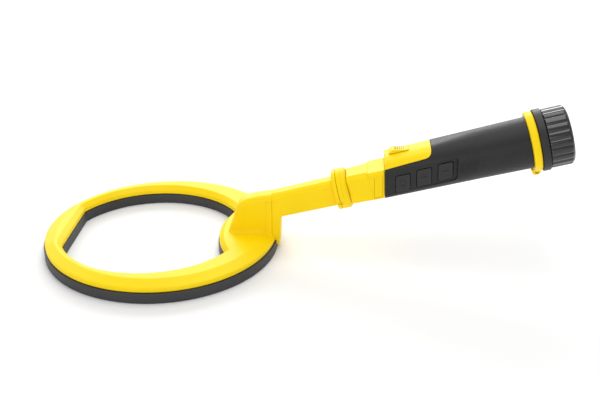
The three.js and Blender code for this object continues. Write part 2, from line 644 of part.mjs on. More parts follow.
function buildHump() {
  const section = [
    [-16.2, 5], [16.2, 5], [16.2, 12.4], [14.4, 14.8], [12, 16.2], [7, 17.5], [2.5, 18.1],
    [-2.5, 18.1], [-7, 17.5], [-12, 16.2], [-14.4, 14.8], [-16.2, 12.4],
  ];
  const inside = [[-13, 5], [13, 5], [11.5, 14.2], [5, 15.7], [-5, 15.7], [-11.5, 14.2]];
  const shell = cut(
    solid(bar(section, 85, 140)).intersect(solid(sidePlate(humpSide(0), -30, 30))),
    solid(bar(inside, seamS(13, 2.6), 128)),
    solid(gripLoft(GRIP_WALL, 80, 160)),
    solid(box(103.4, 113.2, -1.7, 1.7, 14, 22)),
    solid(box(85, 97, -8, 8, 13.6 - 0.9, 16.4)),
  );
  piece('torch_housing', shell, YELLOW, true);
  piece('torch_lens', sidePlate([
    [seamS(13, 0.5), 13], [seamS(13, 2.3), 13], [seamS(16.1, 2.3), 16.1], [seamS(16.1, 0.5), 16.1],
  ], -7.7, 7.7), CLEAR, true);
}

function buildTorchInside() {
  const s0 = seamS(14.5, 3.2);
  const reflector = cut(
    solid(bar([[-6, 13.75], [6, 13.75], [6, 15.35], [-6, 15.35]], s0, s0 + 3)),
    solid(bar([[-5.2, 14], [5.2, 14], [5.2, 15.1], [-5.2, 15.1]], s0 - 1, s0 + 2.2)),
  );
  piece('torch_reflector', reflector, STEEL, true);
  piece('torch_led', box(s0 + 0.9, s0 + 1.9, -1, 1, 14.2, 14.9), NYLON, true);
  const knob = cut(
    join(
      solid(sidePlate([
        [97.6, 16.5], [101.6, 21.2], [113.6, 18.35], [114.6, 16.5],
      ], -4.8, 4.8)).subtract(solid(sidePlate([
        [80, 0], [140, 0], [140, 18.4], [80, 18.4],
      ], -6, 6))),
      solid(box(104, 108.6, -1.3, 1.3, 16.2, 18.9)),
    ),
    solid(box(103.2, 103.8, -6, 6, 20.2, 23)),
  );
  piece('torch_slider', knob, YELLOW, true);
}

function buildSidePlates() {
  const outline = leaning(PLATE_S, PLATE_N, PLATE_W, PLATE_H, 0.6);
  piece('side_plate_right', sidePlate(outline, -PLATE_BACK - 1, -PLATE_BACK), YELLOW, true);
  piece('side_plate_left', sidePlate(outline, PLATE_BACK, PLATE_BACK + 1), YELLOW, true);
}

function buildKeys() {
  const windows = KEY_S.map((s, i) =>
    solid(sidePlate(leaning(s, KEY_N[i], KEY_W + 0.7, KEY_H + 0.7, 1.2), -30, 0)));
  piece('key_frame', cut(
    solid(sidePlate(framePanel(0), FRAME_FACE, FRAME_BACK)), ...windows,
  ), RUBBER, true);
  ['key_power', 'key_plus', 'key_minus'].forEach((name, i) => {
    const outline = leaning(KEY_S[i], KEY_N[i], KEY_W, KEY_H, 1);
    piece(name, sidePlate(outline, KEY_FACE, KEY_BACK), CHARCOAL, true);
  });
}

function buildElectronics() {
  const board = box(93.5, BAY_S - 1.5, BOARD_FACE, BOARD_FACE + BOARD_T, BOARD_LOW, 8.2);
  piece('circuit_board', board, BOARD_GREEN, true);
  KEY_S.forEach((s, i) => {
    const body = solid(box(s - 3, s + 3, -11.6, BOARD_FACE - 0.05, KEY_N[i] - 3, KEY_N[i] + 3));
    const plunger = solid(crossRod(SWITCH_TOP, -11, 1.7, s, KEY_N[i], 12));
    piece(`tact_switch_${i + 1}`, join(body, plunger), NYLON, true);
  });
  piece('buzzer', crossRod(6.6, 10.6, 6, 104, -2, 24), CHARCOAL, true);
  piece('vibration_motor', rod(118, 130, 3.5, 6, -6, 16), STEEL, true);
  const contacts = [90, 210, 330].map((degrees) => {
    const a = THREE.MathUtils.degToRad(degrees);
    return [PIN_RING * Math.cos(a), JOINT_N + PIN_RING * Math.sin(a)];
  });
  const start = SEAM_S + SPIGOT_L + 0.6;
  const bores = contacts.map(([y, n]) => solid(rod(start - 1, start + 9, 1.85, y, n, 12)));
  piece('socket_block', cut(solid(rod(start, start + 10.5, 8.9, 0, JOINT_N)), ...bores), NYLON, true);
  contacts.forEach(([y, n], i) => {
    piece(`socket_contact_${i + 1}`, pipe(start + 0.2, start + 8.6, 1.2, 1.55, y, n, 10), BRASS, true);
  });
}

function buildBattery() {
  const end = CELL_S + CELL_L;
  const tube = turned([
    [CELL_S - 2.5, 0], [CELL_S - 2.5, TUBE_OUT], [CELL_S + 24.5, TUBE_OUT],
    [CELL_S + 24.5, TUBE_RIB_R], [CELL_S + 26.5, TUBE_RIB_R], [CELL_S + 26.5, TUBE_OUT],
    [end + 3, TUBE_OUT], [end + 3, TUBE_IN], [CELL_S - 1.3, TUBE_IN], [CELL_S - 1.3, 0],
  ]);
  piece('battery_tube', tube, CHARCOAL, true);
  piece('front_contact', rod(CELL_S - 1.1, CELL_S - 0.7, 5.5), BRASS, true);
  piece('battery_cell', turned([
    [CELL_S - 0.5, 0], [CELL_S - 0.5, 2.6], [CELL_S + 0.6, 2.6], [CELL_S + 0.6, CELL_R - 0.4],
    [CELL_S + 1, CELL_R], [end - 0.4, CELL_R], [end, CELL_R - 0.4], [end, 0],
  ]), CELL_BLUE, true);
}

// ================================================================ collar and cap
function buildCollar() {
  const end = SEAM_S + COLLAR_L + 0.2;
  const ring = turned([
    [SEAM_S + 0.3, NOSE_R + 0.3], [SEAM_S + 0.3, FLANGE_R], [end - 1.4, FLANGE_R],
    [end, FLANGE_R - 1.4], [end, NOSE_R + 0.3], [SEAM_S + 0.3, NOSE_R + 0.3],
  ], 0, JOINT_N, 36);
  const thumb = sidePlate([
    [SEAM_S + 2, -10.5], [SEAM_S + 6.6, -10.5], [SEAM_S + 6.6, -14], [SEAM_S + 2, -14],
  ], -FLANGE_R - 0.2, -10);
  const notch = box(SEAM_S, SEAM_S + 1.8, -FLANGE_R - 1, -FLANGE_R + 1.4, -12, -9);
  const outer = solid(pipe(SEAM_S - 5, end + 5, NOSE_R + 2, FLANGE_R + 0.4, 0, JOINT_N, 36));
  piece('lock_collar', cut(join(solid(ring), solid(thumb).intersect(outer)), solid(notch)), YELLOW, true);
}

function buildCap() {
  const end = HANDLE_LENGTH;
  const bore = NECK_R + 0.5;
  const deep = end - 7.4;
  piece('cap_o_ring', seal(GRIP_END_S + 0.2 + RING_L + 3.2, NECK_R - 0.5, 0.85), SEAL, true);
  piece('cap_body', turned([
    [CAP_S, bore], [CAP_S, SKIRT_R - 0.6], [CAP_S + 0.6, SKIRT_R], [CAP_S + SKIRT_L - 0.4, SKIRT_R],
    [CAP_S + SKIRT_L, SKIRT_R - 0.4], [CAP_S + SKIRT_L, DRUM_R], [end - 2.6, DRUM_R], [end - 2.6, 0],
    [end - 4.6, 0], [end - 4.6, 12], [deep, 12], [deep, bore], [CAP_S, bore],
  ], 0, 0, 36), CHARCOAL, true);
  const start = CAP_S + SKIRT_L + GAP;
  const ribbed = (radius, s) => Array.from({ length: RIBS * 2 }, (_, i) => {
    const angle = (i + 0.5) / (RIBS * 2) * Math.PI * 2;
    const r = radius - (i % 2 ? RIB_DEPTH : 0);
    return [s, r * Math.cos(angle), r * Math.sin(angle)];
  });
  const outside = loft([
    ribbed(RIB_R - 0.5, start), ribbed(RIB_R, start + 0.6), ribbed(RIB_R, end - 2.6),
    ribbed(RIB_R - 0.8, end - 0.9), ribbed(RIB_R - 2.6, end),
  ]);
  piece('cap_ribbed_shell', cut(solid(outside), solid(rod(start - 1, end - 2.3, DRUM_R + GAP, 0, 0, 36))),
    BLACK_GLOSS, true);
  piece('cap_spring', springCoil(CELL_S + CELL_L + 0.7, end - 4.9, 3.2, 5.4, 4, 0.5), STEEL, true);
}

/** Conical compression spring along x. */
function springCoil(x0, x1, r0, r1, turns, wire) {
  const count = turns * 10;
  const rings = Array.from({ length: count + 1 }, (_, i) => {
    const t = i / count;
    const angle = t * turns * Math.PI * 2;
    const radius = r0 + (r1 - r0) * t;
    const x = x0 + wire + (x1 - x0 - 2 * wire) * t;
    return Array.from({ length: 5 }, (_unused, k) => {
      const around = k / 5 * Math.PI * 2;
      const reach = radius + wire * Math.cos(around);
      return [x + wire * Math.sin(around), reach * Math.cos(angle), reach * Math.sin(angle)];
    });
  });
  return indexed(rings.flat(2), cableSkin(rings.length, 5));
}

// ================================================================ assembly
buildTray();
buildCover();
buildCoilInside();
buildElbow();
buildArm();
buildHeadInside();
buildCore();
buildGrip();
buildHump();
buildTorchInside();
buildSidePlates();
buildKeys();
buildElectronics();
buildBattery();
buildCollar();
buildCap();

// The origin goes to the middle of the footprint, on the ground.
const bounds = new THREE.Box3().setFromObject(group);
const middle = bounds.getCenter(new THREE.Vector3());
group.position.set(-middle.x, -middle.y, -bounds.min.z);
group.updateMatrixWorld(true);

export default group;
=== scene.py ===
"""Looks of a hand-held metal detector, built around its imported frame.

Shapes are drawn in millimetres and placed when they are finished. Coil coordinates have x towards the
neck, y across and z up from the sole. Handle coordinates have x along the handle, y across and z up
from the handle's axis.
"""
import json
import logging
import math
from dataclasses import dataclass, field
from enum import Enum
from typing import Callable, Sequence

import bmesh
import bpy
from bmesh.types import BMEdge, BMesh, BMFace, BMVert
from mathutils import Matrix, Vector


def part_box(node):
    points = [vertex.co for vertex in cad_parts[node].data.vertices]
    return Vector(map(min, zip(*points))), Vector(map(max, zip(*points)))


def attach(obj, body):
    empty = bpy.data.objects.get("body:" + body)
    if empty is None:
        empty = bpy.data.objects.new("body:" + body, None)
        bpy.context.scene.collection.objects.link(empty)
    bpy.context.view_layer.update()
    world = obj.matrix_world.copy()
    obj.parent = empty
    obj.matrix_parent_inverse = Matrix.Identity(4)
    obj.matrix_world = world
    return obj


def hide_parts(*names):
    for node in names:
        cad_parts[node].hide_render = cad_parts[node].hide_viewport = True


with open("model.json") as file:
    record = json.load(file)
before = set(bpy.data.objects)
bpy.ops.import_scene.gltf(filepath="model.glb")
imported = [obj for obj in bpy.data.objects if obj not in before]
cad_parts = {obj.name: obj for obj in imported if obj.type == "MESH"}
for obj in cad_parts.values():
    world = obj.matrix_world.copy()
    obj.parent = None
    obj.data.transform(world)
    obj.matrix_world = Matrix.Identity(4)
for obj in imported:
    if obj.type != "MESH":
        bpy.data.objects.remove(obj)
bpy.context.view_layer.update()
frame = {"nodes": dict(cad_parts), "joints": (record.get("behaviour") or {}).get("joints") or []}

log = logging.getLogger("detector")

MM = 0.001
FULL_TURN = 2 * math.pi
Spot = tuple[float, float]
Point = tuple[float, float, float]
Color = tuple[float, float, float]


# ---------------------------------------------------------------- placing
def coil_place() -> Matrix:
    """Returns the matrix from coil coordinates in millimetres to the row frame."""
    low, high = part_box("coil_tray")
    radius = (high.y - low.y) / 2
    return Matrix.Translation((low.x + radius, 0, low.z)) @ Matrix.Scale(MM, 4)


def handle_place() -> Matrix:
    """Returns the matrix from handle coordinates in millimetres to the row frame."""
    joint = next(j for j in frame["joints"] if j["name"] == "cap_turn")
    along = Vector(joint["axis"]).normalized()
    origin = Vector(joint["pos_m"]) - along * 200 * MM
    across = Vector((0, 1, 0))
    turn = Matrix((along, across, along.cross(across))).transposed().to_4x4()
    return Matrix.Translation(origin) @ turn @ Matrix.Scale(MM, 4)


# ---------------------------------------------------------------- mesh tools
def row_edges(row: Sequence[BMVert]) -> list[BMEdge]:
    """Lists the edges that join a closed row of vertices.

    Args:
        row: the vertices, in order.

    Returns:
        One edge for each neighbouring pair.
    """
    pairs = zip(row, list(row[1:]) + [row[0]])
    return [next(e for e in a.link_edges if b in e.verts) for a, b in pairs]


def first_row(bm: BMesh, points: Sequence[Point]) -> list[BMVert]:
    """Starts a skin with a closed row of vertices.

    Args:
        bm: the mesh that gets the row.
        points: where its vertices go, in order.

    Returns:
        The vertices, in order.
    """
    row = list(bmesh.ops.create_circle(bm, segments=len(points), radius=1)["verts"])
    for vertex, point in zip(row, points):
        vertex.co = point
    return row


def next_row(bm: BMesh, row: Sequence[BMVert], points: Sequence[Point]) -> list[BMVert]:
    """Extrudes a closed row and puts the new vertices on the given points.

    Args:
        bm: the mesh that holds the row.
        row: the vertices to extrude, in order.
        points: where the new ones go, in the same order.

    Returns:
        The new vertices, in order.
    """
    made = bmesh.ops.extrude_edge_only(bm, edges=row_edges(row))["geom"]
    fresh = {v for v in made if isinstance(v, BMVert)}
    after = [next(e.other_vert(v) for e in v.link_edges if e.other_vert(v) in fresh) for v in row]
    for vertex, point in zip(after, points):
        vertex.co = point
    return after


def skin(rows: Sequence[Sequence[Point]], closed: bool = False) -> BMesh:
    """Makes a closed shape from rows of points.

    Args:
        rows: the sections, each with the same number of points.
        closed: True where the last section meets the first; otherwise both ends get a face.

    Returns:
        The mesh, with its faces outwards.
    """
    bm = bmesh.new()
    start = row = first_row(bm, rows[0])
    for points in rows[1:]:
        row = next_row(bm, row, points)
    if closed:
        next_row(bm, row, rows[0])
        bmesh.ops.remove_doubles(bm, verts=bm.verts[:], dist=0.002)
    else:
        for end in (start, row):
            bmesh.ops.edgeloop_fill(bm, edges=row_edges(end))
    bmesh.ops.recalc_face_normals(bm, faces=bm.faces[:])
    return bm


def turned(profile: Sequence[Spot], steps: int = 96, low: float = 0.0, loop: bool = False) -> BMesh:
    """Turns a profile about a line along x.

    Args:
        profile: (along, radius) corners.
        steps: number of faces round the turn.
        low: height of the turning line.
        loop: True where the last corner joins the first.

    Returns:
        The turned mesh, with its faces outwards.
    """
    bm = bmesh.new()
    verts = [bm.verts.new((x, 0, r)) for x, r in profile]
    ends = list(zip(verts, verts[1:] + verts[:1])) if loop else list(zip(verts, verts[1:]))
    edges = [bm.edges.new(pair) for pair in ends]
    bmesh.ops.spin(bm, geom=verts + edges, cent=(0, 0, 0), axis=(1, 0, 0), angle=FULL_TURN,
                   steps=steps, use_merge=True)
    bmesh.ops.remove_doubles(bm, verts=bm.verts[:], dist=0.002)
    bmesh.ops.translate(bm, verts=bm.verts[:], vec=(0, 0, low))
    bmesh.ops.recalc_face_normals(bm, faces=bm.faces[:])
    return bm


def plate(outline: Sequence[Spot], y0: float, y1: float, corner: float = 0.0,
          steps: int = 4) -> BMesh:
    """Makes a flat plate from its side outline.

    Args:
        outline: (x, z) corners.
        y0: one face of the plate.
        y1: its other face.
        corner: radius of the outline's corners.
        steps: segments in each rounded corner.

    Returns:
        The closed plate.
    """
    bm = bmesh.new()
    bm.faces.new([bm.verts.new((x, y0, z)) for x, z in outline])
    if corner:
        bmesh.ops.bevel(bm, geom=bm.verts[:], offset=corner, segments=steps, profile=0.5,
                        affect="VERTICES", material=-1)
    grown = bmesh.ops.extrude_face_region(bm, geom=bm.faces[:])["geom"]
    moved = [v for v in grown if isinstance(v, BMVert)]
    bmesh.ops.translate(bm, verts=moved, vec=(0, y1 - y0, 0))
    bmesh.ops.recalc_face_normals(bm, faces=bm.faces[:])
    return bm


def block(x0: float, x1: float, y0: float, y1: float, z0: float, z1: float) -> BMesh:
    """Makes a box from its six sides."""
    return plate([(x0, z0), (x1, z0), (x1, z1), (x0, z1)], y0, y1)


def round_edges(bm: BMesh, radius: float, segments: int = 3, angle: float = 30.0,
                where: Callable[[Vector], bool] | None = None) -> BMesh:
    """Rounds the edges where two faces meet at more than an angle.

    Args:
        bm: the mesh.
        radius: width of the rounding.
        segments: faces across it.
        angle: least angle between the faces, in degrees.
        where: says for an edge's middle whether it is rounded; every edge is if left out.

    Returns:
        The same mesh.
    """
    least = math.radians(angle)
    picked = []
    for edge in bm.edges:
        middle = (edge.verts[0].co + edge.verts[1].co) / 2
        if edge.is_manifold and edge.calc_face_angle(0) > least and (where is None or where(middle)):
            picked.append(edge)
    bmesh.ops.bevel(bm, geom=picked, offset=radius, segments=segments, profile=0.5, affect="EDGES",
                    clamp_overlap=True, material=-1)
    return bm


def joined(*meshes: BMesh) -> BMesh:
    """Puts several meshes into one.

    Args:
        *meshes: the meshes; they are used up.

    Returns:
        The first of them, with the others' shapes added.
    """
    first = meshes[0]
    for other in meshes[1:]:
        carrier = bpy.data.meshes.new("carrier")
        other.to_mesh(carrier)
        other.free()
        first.from_mesh(carrier)
        bpy.data.meshes.remove(carrier)
    return first


def carved(body: BMesh, *cutters: BMesh, keep: str = "DIFFERENCE") -> BMesh:
    """Cuts closed shapes out of a closed shape, or joins them to it.

    Args:
        body: the shape that is cut; it is used up.
        *cutters: the shapes that cut it; they are used up.
        keep: the Boolean operation.

    Returns:
        A new mesh.
    """
    holders = []
    for bm in (body, *cutters):
        mesh = bpy.data.meshes.new("carving")
        bm.to_mesh(mesh)
        bm.free()
        holder = bpy.data.objects.new("carving", mesh)
        bpy.context.scene.collection.objects.link(holder)
        holders.append(holder)
    for cutter in holders[1:]:
        step = holders[0].modifiers.new("cut", "BOOLEAN")
        step.object, step.operation, step.solver = cutter, keep, "EXACT"
    done = holders[0].evaluated_get(bpy.context.evaluated_depsgraph_get())
    result = bmesh.new()
    result.from_mesh(done.data)
    for holder in holders:
        mesh = holder.data
        bpy.data.objects.remove(holder)
        bpy.data.meshes.remove(mesh)
    bmesh.ops.remove_doubles(result, verts=result.verts[:], dist=0.004)
    bmesh.ops.dissolve_limit(result, angle_limit=math.radians(0.4), use_dissolve_boundaries=False,
                             verts=result.verts[:], edges=result.edges[:])
    return result


def rounded(corners: Sequence[tuple[float, float, float]], steps: int = 4) -> list[Spot]:
    """Rounds the corners of a closed outline.

    Args:
        corners: (first, second, radius) of each corner.
        steps: segments in each rounding; each corner gives one point more than that.

    Returns:
        The outline's points.
    """
    points: list[Spot] = []
    for i, (u, v, radius) in enumerate(corners):
        here = Vector((u, v))
        back = (Vector(corners[i - 1][:2]) - here).normalized()
        ahead = (Vector(corners[(i + 1) % len(corners)][:2]) - here).normalized()
        half = back.angle(ahead) / 2
        reach = radius / math.tan(half)
        start, end = here + back * reach, here + ahead * reach
        for k in range(steps + 1):
            t = k / steps
            bent = start * (1 - t) ** 2 + here * 2 * t * (1 - t) + end * t ** 2
            points.append((bent.x, bent.y))
    return points


def on_circle(points: Sequence[Spot], radius: float, low: float) -> list[Spot]:
    """Moves the points of a section radially onto a circle.

    Args:
        points: (y, z) points.
        radius: radius of the circle.
        low: height of its centre.

    Returns:
        The moved points.
    """
    angles = [math.atan2(z - low, y) for y, z in points]
    return [(radius * math.cos(a), low + radius * math.sin(a)) for a in angles]


def station(x: float, section: Sequence[Spot]) -> list[Point]:
    """Stands a (y, z) section at a place along x."""
    return [(x, y, z) for y, z in section]


# ---------------------------------------------------------------- finishes
class NodeSheet:
    """A material's node tree, with short calls that add and join its nodes."""

    def __init__(self, name: str) -> None:
        """Starts a material that has only its shader.

        Args:
            name: the material's name.
        """
        self.material = bpy.data.materials.new(name)
        self.material.use_nodes = True
        self.tree = self.material.node_tree
        self.shader = self.tree.nodes["Principled BSDF"]
        self.coords = self.tree.nodes.new("ShaderNodeTexCoord").outputs["Object"]

    def add(self, kind: str, **values: object) -> bpy.types.Node:
        """Adds a node.

        Args:
            kind: the node's type, without the part that all names share.
            **values: settings of the node, or values of its inputs.

        Returns:
            The node.
        """
        node = self.tree.nodes.new("ShaderNode" + kind)
        for key, value in values.items():
            if hasattr(node, key):
                setattr(node, key, value)
            else:
                node.inputs[key.replace("_", " ").title()].default_value = value
        return node

    def join(self, start: bpy.types.NodeSocket, end: bpy.types.NodeSocket) -> None:
        """Joins an output to an input."""
        self.tree.links.new(start, end)

    def turned_coords(self, turn: Point = (0, 0, 0), stretch: Point = (1, 1, 1)) -> bpy.types.NodeSocket:
        """Turns and stretches the object's coordinates.

        Args:
            turn: angles about x, y and z.
            stretch: scale of each axis.

        Returns:
            The new coordinates.
        """
        mapping = self.add("Mapping")
        mapping.inputs["Rotation"].default_value = turn
        mapping.inputs["Scale"].default_value = stretch
        self.join(self.coords, mapping.inputs["Vector"])
        return mapping.outputs["Vector"]

    def noise(self, scale: float, detail: float = 3.0,
              coords: bpy.types.NodeSocket | None = None) -> bpy.types.NodeSocket:
        """Adds a noise pattern.

        Args:
            scale: how many lumps fit in a metre, roughly.
            detail: how much finer detail it has.
            coords: where the pattern lies; the object's coordinates if left out.

        Returns:
            The pattern, from 0 to 1.
        """
        node = self.add("TexNoise", Scale=scale, Detail=detail)
        self.join(coords or self.coords, node.inputs["Vector"])
        return node.outputs["Fac"]

    def wave(self, scale: float, coords: bpy.types.NodeSocket, kind: str = "BANDS",
             axis: str = "X") -> bpy.types.NodeSocket:
        """Adds a pattern of even bands.

        Args:
            scale: how close the bands are.
            coords: where the pattern lies.
            kind: BANDS or RINGS.
            axis: the way the bands follow each other.

        Returns:
            The pattern, from 0 to 1.
        """
        node = self.add("TexWave", Scale=scale, wave_type=kind, wave_profile="SIN")
        setattr(node, "bands_direction" if kind == "BANDS" else "rings_direction", axis)
        self.join(coords, node.inputs["Vector"])
        return node.outputs["Fac"]

    def spread(self, pattern: bpy.types.NodeSocket, low: float, high: float, start: float = 0.3,
               end: float = 0.7) -> bpy.types.NodeSocket:
        """Maps a pattern onto a range of values.

        Args:
            pattern: the pattern.
            low: value where the pattern is at start.
            high: value where it is at end.
            start: the pattern's lower end.
            end: its upper end.

        Returns:
            The mapped values.
        """
        node = self.add("MapRange")
        for name, value in (("From Min", start), ("From Max", end), ("To Min", low), ("To Max", high)):
            node.inputs[name].default_value = value
        self.join(pattern, node.inputs["Value"])
        return node.outputs["Result"]

    def blend(self, pattern: bpy.types.NodeSocket, first: Color, second: Color) -> bpy.types.NodeSocket:
        """Blends two colours by a pattern.

        Args:
            pattern: 0 for the first colour, 1 for the second.
            first: a colour.
            second: another.

        Returns:
            The blended colour.
        """
        node = self.add("ValToRGB")
        ramp = node.color_ramp.elements
        ramp[0].position, ramp[1].position = 0.32, 0.68
        ramp[0].color, ramp[1].color = (*first, 1), (*second, 1)
        self.join(pattern, node.inputs["Fac"])
        return node.outputs["Color"]

    def bump(self, height: bpy.types.NodeSocket, depth: float, strength: float = 1.0,
             under: bpy.types.NodeSocket | None = None) -> bpy.types.NodeSocket:
        """Raises the surface by a pattern.

        Args:
            height: the pattern.
            depth: its height in metres.
            strength: how much of it shows.
            under: another raised surface that this one lies on.

        Returns:
            The raised surface.
        """
        node = self.add("Bump", Distance=depth, Strength=strength)
        self.join(height, node.inputs["Height"])
        if under is not None:
            self.join(under, node.inputs["Normal"])
        return node.outputs["Normal"]

    def set(self, **values: object) -> None:
        """Sets constants on the shader's own sockets, each named in words joined by underscores."""
        for key, value in values.items():
            self.shader.inputs[key.replace("_", " ")].default_value = value

    def feed(self, **sockets: bpy.types.NodeSocket) -> None:
        """Joins patterns to the shader's sockets, each named in words joined by underscores."""
        for key, socket in sockets.items():
            self.join(socket, self.shader.inputs[key.replace("_", " ")])


def tone(color: Color, share: float) -> Color:
    """Makes a colour lighter or darker by a share of itself."""
    return tuple(min(c * share, 1.0) for c in color)


@dataclass(frozen=True)
class Finish:
    """A surface finish. Its material is made once and shared."""

    name: str
    color: Color
    roughness: float

    def material(self) -> bpy.types.Material:
        """Returns the finish's material, made at its first use."""
        found = bpy.data.materials.get("finish_" + self.name)
        if found:
            return found
        sheet = NodeSheet("finish_" + self.name)
        self.lay(sheet)
        return sheet.material

    def lay(self, sheet: NodeSheet) -> None:
        """Draws the finish.

        Args:
            sheet: the material's node tree.
        """
        raise NotImplementedError


@dataclass(frozen=True)
class Moulded(Finish):
    """Moulded plastic or rubber: eroded mould texture, faint flow marks and handling scuffs."""

    grain: float = 2600.0
    grain_depth: float = 0.00003
    vary: float = 0.05
    scuff: float = 0.10
    sheen: float = 0.0
    coat: float = 0.0
    specular: float = 0.5

    def lay(self, sheet: NodeSheet) -> None:
        """Draws the moulded surface.

        Args:
            sheet: the material's node tree.
        """
        flow = sheet.noise(38, 2)
        fine = sheet.noise(self.grain, 4)
        scuffs = sheet.noise(420, 6, sheet.turned_coords((0.3, 0.1, 0.7), (1, 5, 3)))
        tint = sheet.blend(flow, tone(self.color, 1 - self.vary), tone(self.color, 1 + self.vary))
        rough = sheet.spread(scuffs, self.roughness - self.scuff / 2, self.roughness + self.scuff)
        ripple = sheet.bump(flow, 0.0002, 0.25)
        sheet.feed(Base_Color=tint, Roughness=rough,
                   Normal=sheet.bump(fine, self.grain_depth, 0.6, ripple))
        sheet.set(Specular_IOR_Level=self.specular, Coat_Weight=self.coat, Coat_Roughness=0.12,
                  Sheen_Weight=self.sheen, Sheen_Roughness=0.4)


@dataclass(frozen=True)
class Metal(Finish):
    """Bare metal with fine lines from drawing or turning, slightly dulled in patches."""

    stretch: Point = (1, 40, 40)
    lines: float = 260.0

    def lay(self, sheet: NodeSheet) -> None:
        """Draws the metal.

        Args:
            sheet: the material's node tree.
        """
        drawn = sheet.noise(self.lines, 5, sheet.turned_coords((0, math.radians(15), 0), self.stretch))
        dull = sheet.noise(260, 3)
        tint = sheet.blend(dull, tone(self.color, 0.82), self.color)
        rough = sheet.spread(dull, self.roughness * 0.8, self.roughness * 1.5)
        sheet.feed(Base_Color=tint, Roughness=rough, Normal=sheet.bump(drawn, 0.00002, 0.5))
        sheet.set(Metallic=1.0)


@dataclass(frozen=True)
class WoundWire(Finish):
    """Enamelled wire laid in rings about the coil's centre, with painted shade darkening the grooves between the
    rings.
    """

    centre: Point = (0, 0, 0)
    pitch: float = 0.0006

    def lay(self, sheet: NodeSheet) -> None:
        """Draws the wires.

        Args:
            sheet: the material's node tree.
        """
        shift = sheet.add("Mapping")
        shift.inputs["Location"].default_value = tuple(-c for c in self.centre)
        sheet.join(sheet.coords, shift.inputs["Vector"])
        rings = sheet.wave(0.314 / self.pitch, shift.outputs["Vector"], "RINGS", "Z")
        layers = sheet.wave(0.314 / self.pitch, shift.outputs["Vector"], "BANDS", "Z")
        enamel = sheet.noise(300, 3)
        # Painted shade: the colour is darkened where the ring pattern is low, which is the grooves of the bump
        # between the wires.
        tint = sheet.blend(rings, tone(self.color, 0.55), self.color)
        surface = sheet.bump(layers, 0.0002, 0.6, sheet.bump(rings, 0.0002, 0.6))
        sheet.feed(Base_Color=tint, Normal=surface,
                   Roughness=sheet.spread(enamel, self.roughness * 0.8, self.roughness * 1.3))
        sheet.set(Metallic=1.0, Coat_Weight=0.5, Coat_Roughness=0.15)


@dataclass(frozen=True)
class Poured(Finish):
    """Cast resin: faint bubbles under a slightly uneven skin."""

    def lay(self, sheet: NodeSheet) -> None:
        """Draws the resin.

        Args:
            sheet: the material's node tree.
        """
        bubbles = sheet.add("TexVoronoi", Scale=700.0)
        sheet.join(sheet.coords, bubbles.inputs["Vector"])
        waves = sheet.noise(70, 2)
        tint = sheet.blend(waves, self.color, tone(self.color, 1.5))
        pits = sheet.spread(bubbles.outputs["Distance"], 0, 1, 0.0, 0.25)
        surface = sheet.bump(pits, 0.00008, 0.4, sheet.bump(waves, 0.0005, 0.4))
        sheet.feed(Base_Color=tint, Normal=surface,
                   Roughness=sheet.spread(waves, self.roughness * 0.7, self.roughness * 1.2))
        sheet.set(Coat_Weight=0.3, Coat_Roughness=0.1)


@dataclass(frozen=True)
class Board(Finish):
    """Circuit board: green resist over a maze of copper tracks, with round tinned pads."""

    def lay(self, sheet: NodeSheet) -> None:
        """Draws the board.

        Args:
            sheet: the material's node tree.
        """
        flat = sheet.turned_coords((0, math.radians(15), 0))
        tracks = sheet.add("TexBrick", Scale=210.0)
        tracks.inputs["Mortar Size"].default_value = 0.11
        tracks.inputs["Color1"].default_value = (*self.color, 1)
        tracks.inputs["Color2"].default_value = (*tone(self.color, 0.8), 1)
        tracks.inputs["Mortar"].default_value = (*tone(self.color, 2.2), 1)
        spin = sheet.add("Mapping")
        spin.inputs["Rotation"].default_value = (math.radians(90), 0, 0)
        sheet.join(flat, spin.inputs["Vector"])
        sheet.join(spin.outputs["Vector"], tracks.inputs["Vector"])
        pads = sheet.add("TexVoronoi", Scale=330.0)
        sheet.join(flat, pads.inputs["Vector"])
        tin = sheet.spread(pads.outputs["Distance"], 1, 0, 0.12, 0.16)
        both = sheet.add("Mix", data_type="RGBA")
        both.inputs["B"].default_value = (0.62, 0.62, 0.6, 1)
        both.inputs[7].default_value = (0.62, 0.62, 0.6, 1)
        sheet.join(tin, both.inputs[0])
        sheet.join(tracks.outputs["Color"], both.inputs[6])
        weave = sheet.noise(1500, 2)
        surface = sheet.bump(tracks.outputs["Fac"], 0.00004, 0.6, sheet.bump(weave, 0.00002, 0.4))
        sheet.feed(Base_Color=both.outputs[2], Normal=surface, Metallic=tin,
                   Roughness=sheet.spread(weave, self.roughness * 0.8, self.roughness * 1.3))
        sheet.set(Coat_Weight=0.3, Coat_Roughness=0.2)


@dataclass(frozen=True)
class Clear(Finish):
    """Clear moulded lens with upright flutes that spread the light."""

    def lay(self, sheet: NodeSheet) -> None:
        """Draws the lens.

        Args:
            sheet: the material's node tree.
        """
        flutes = sheet.wave(150, sheet.coords, "BANDS", "Y")
        haze = sheet.noise(600, 3)
        tint = sheet.blend(haze, self.color, tone(self.color, 1.1))
        surface = sheet.bump(haze, 0.00001, 0.4, sheet.bump(flutes, 0.0003, 0.7))
        sheet.feed(Base_Color=tint, Normal=surface,
                   Roughness=sheet.spread(haze, self.roughness * 0.7, self.roughness * 1.6))
        sheet.set(Transmission_Weight=0.85, IOR=1.49)


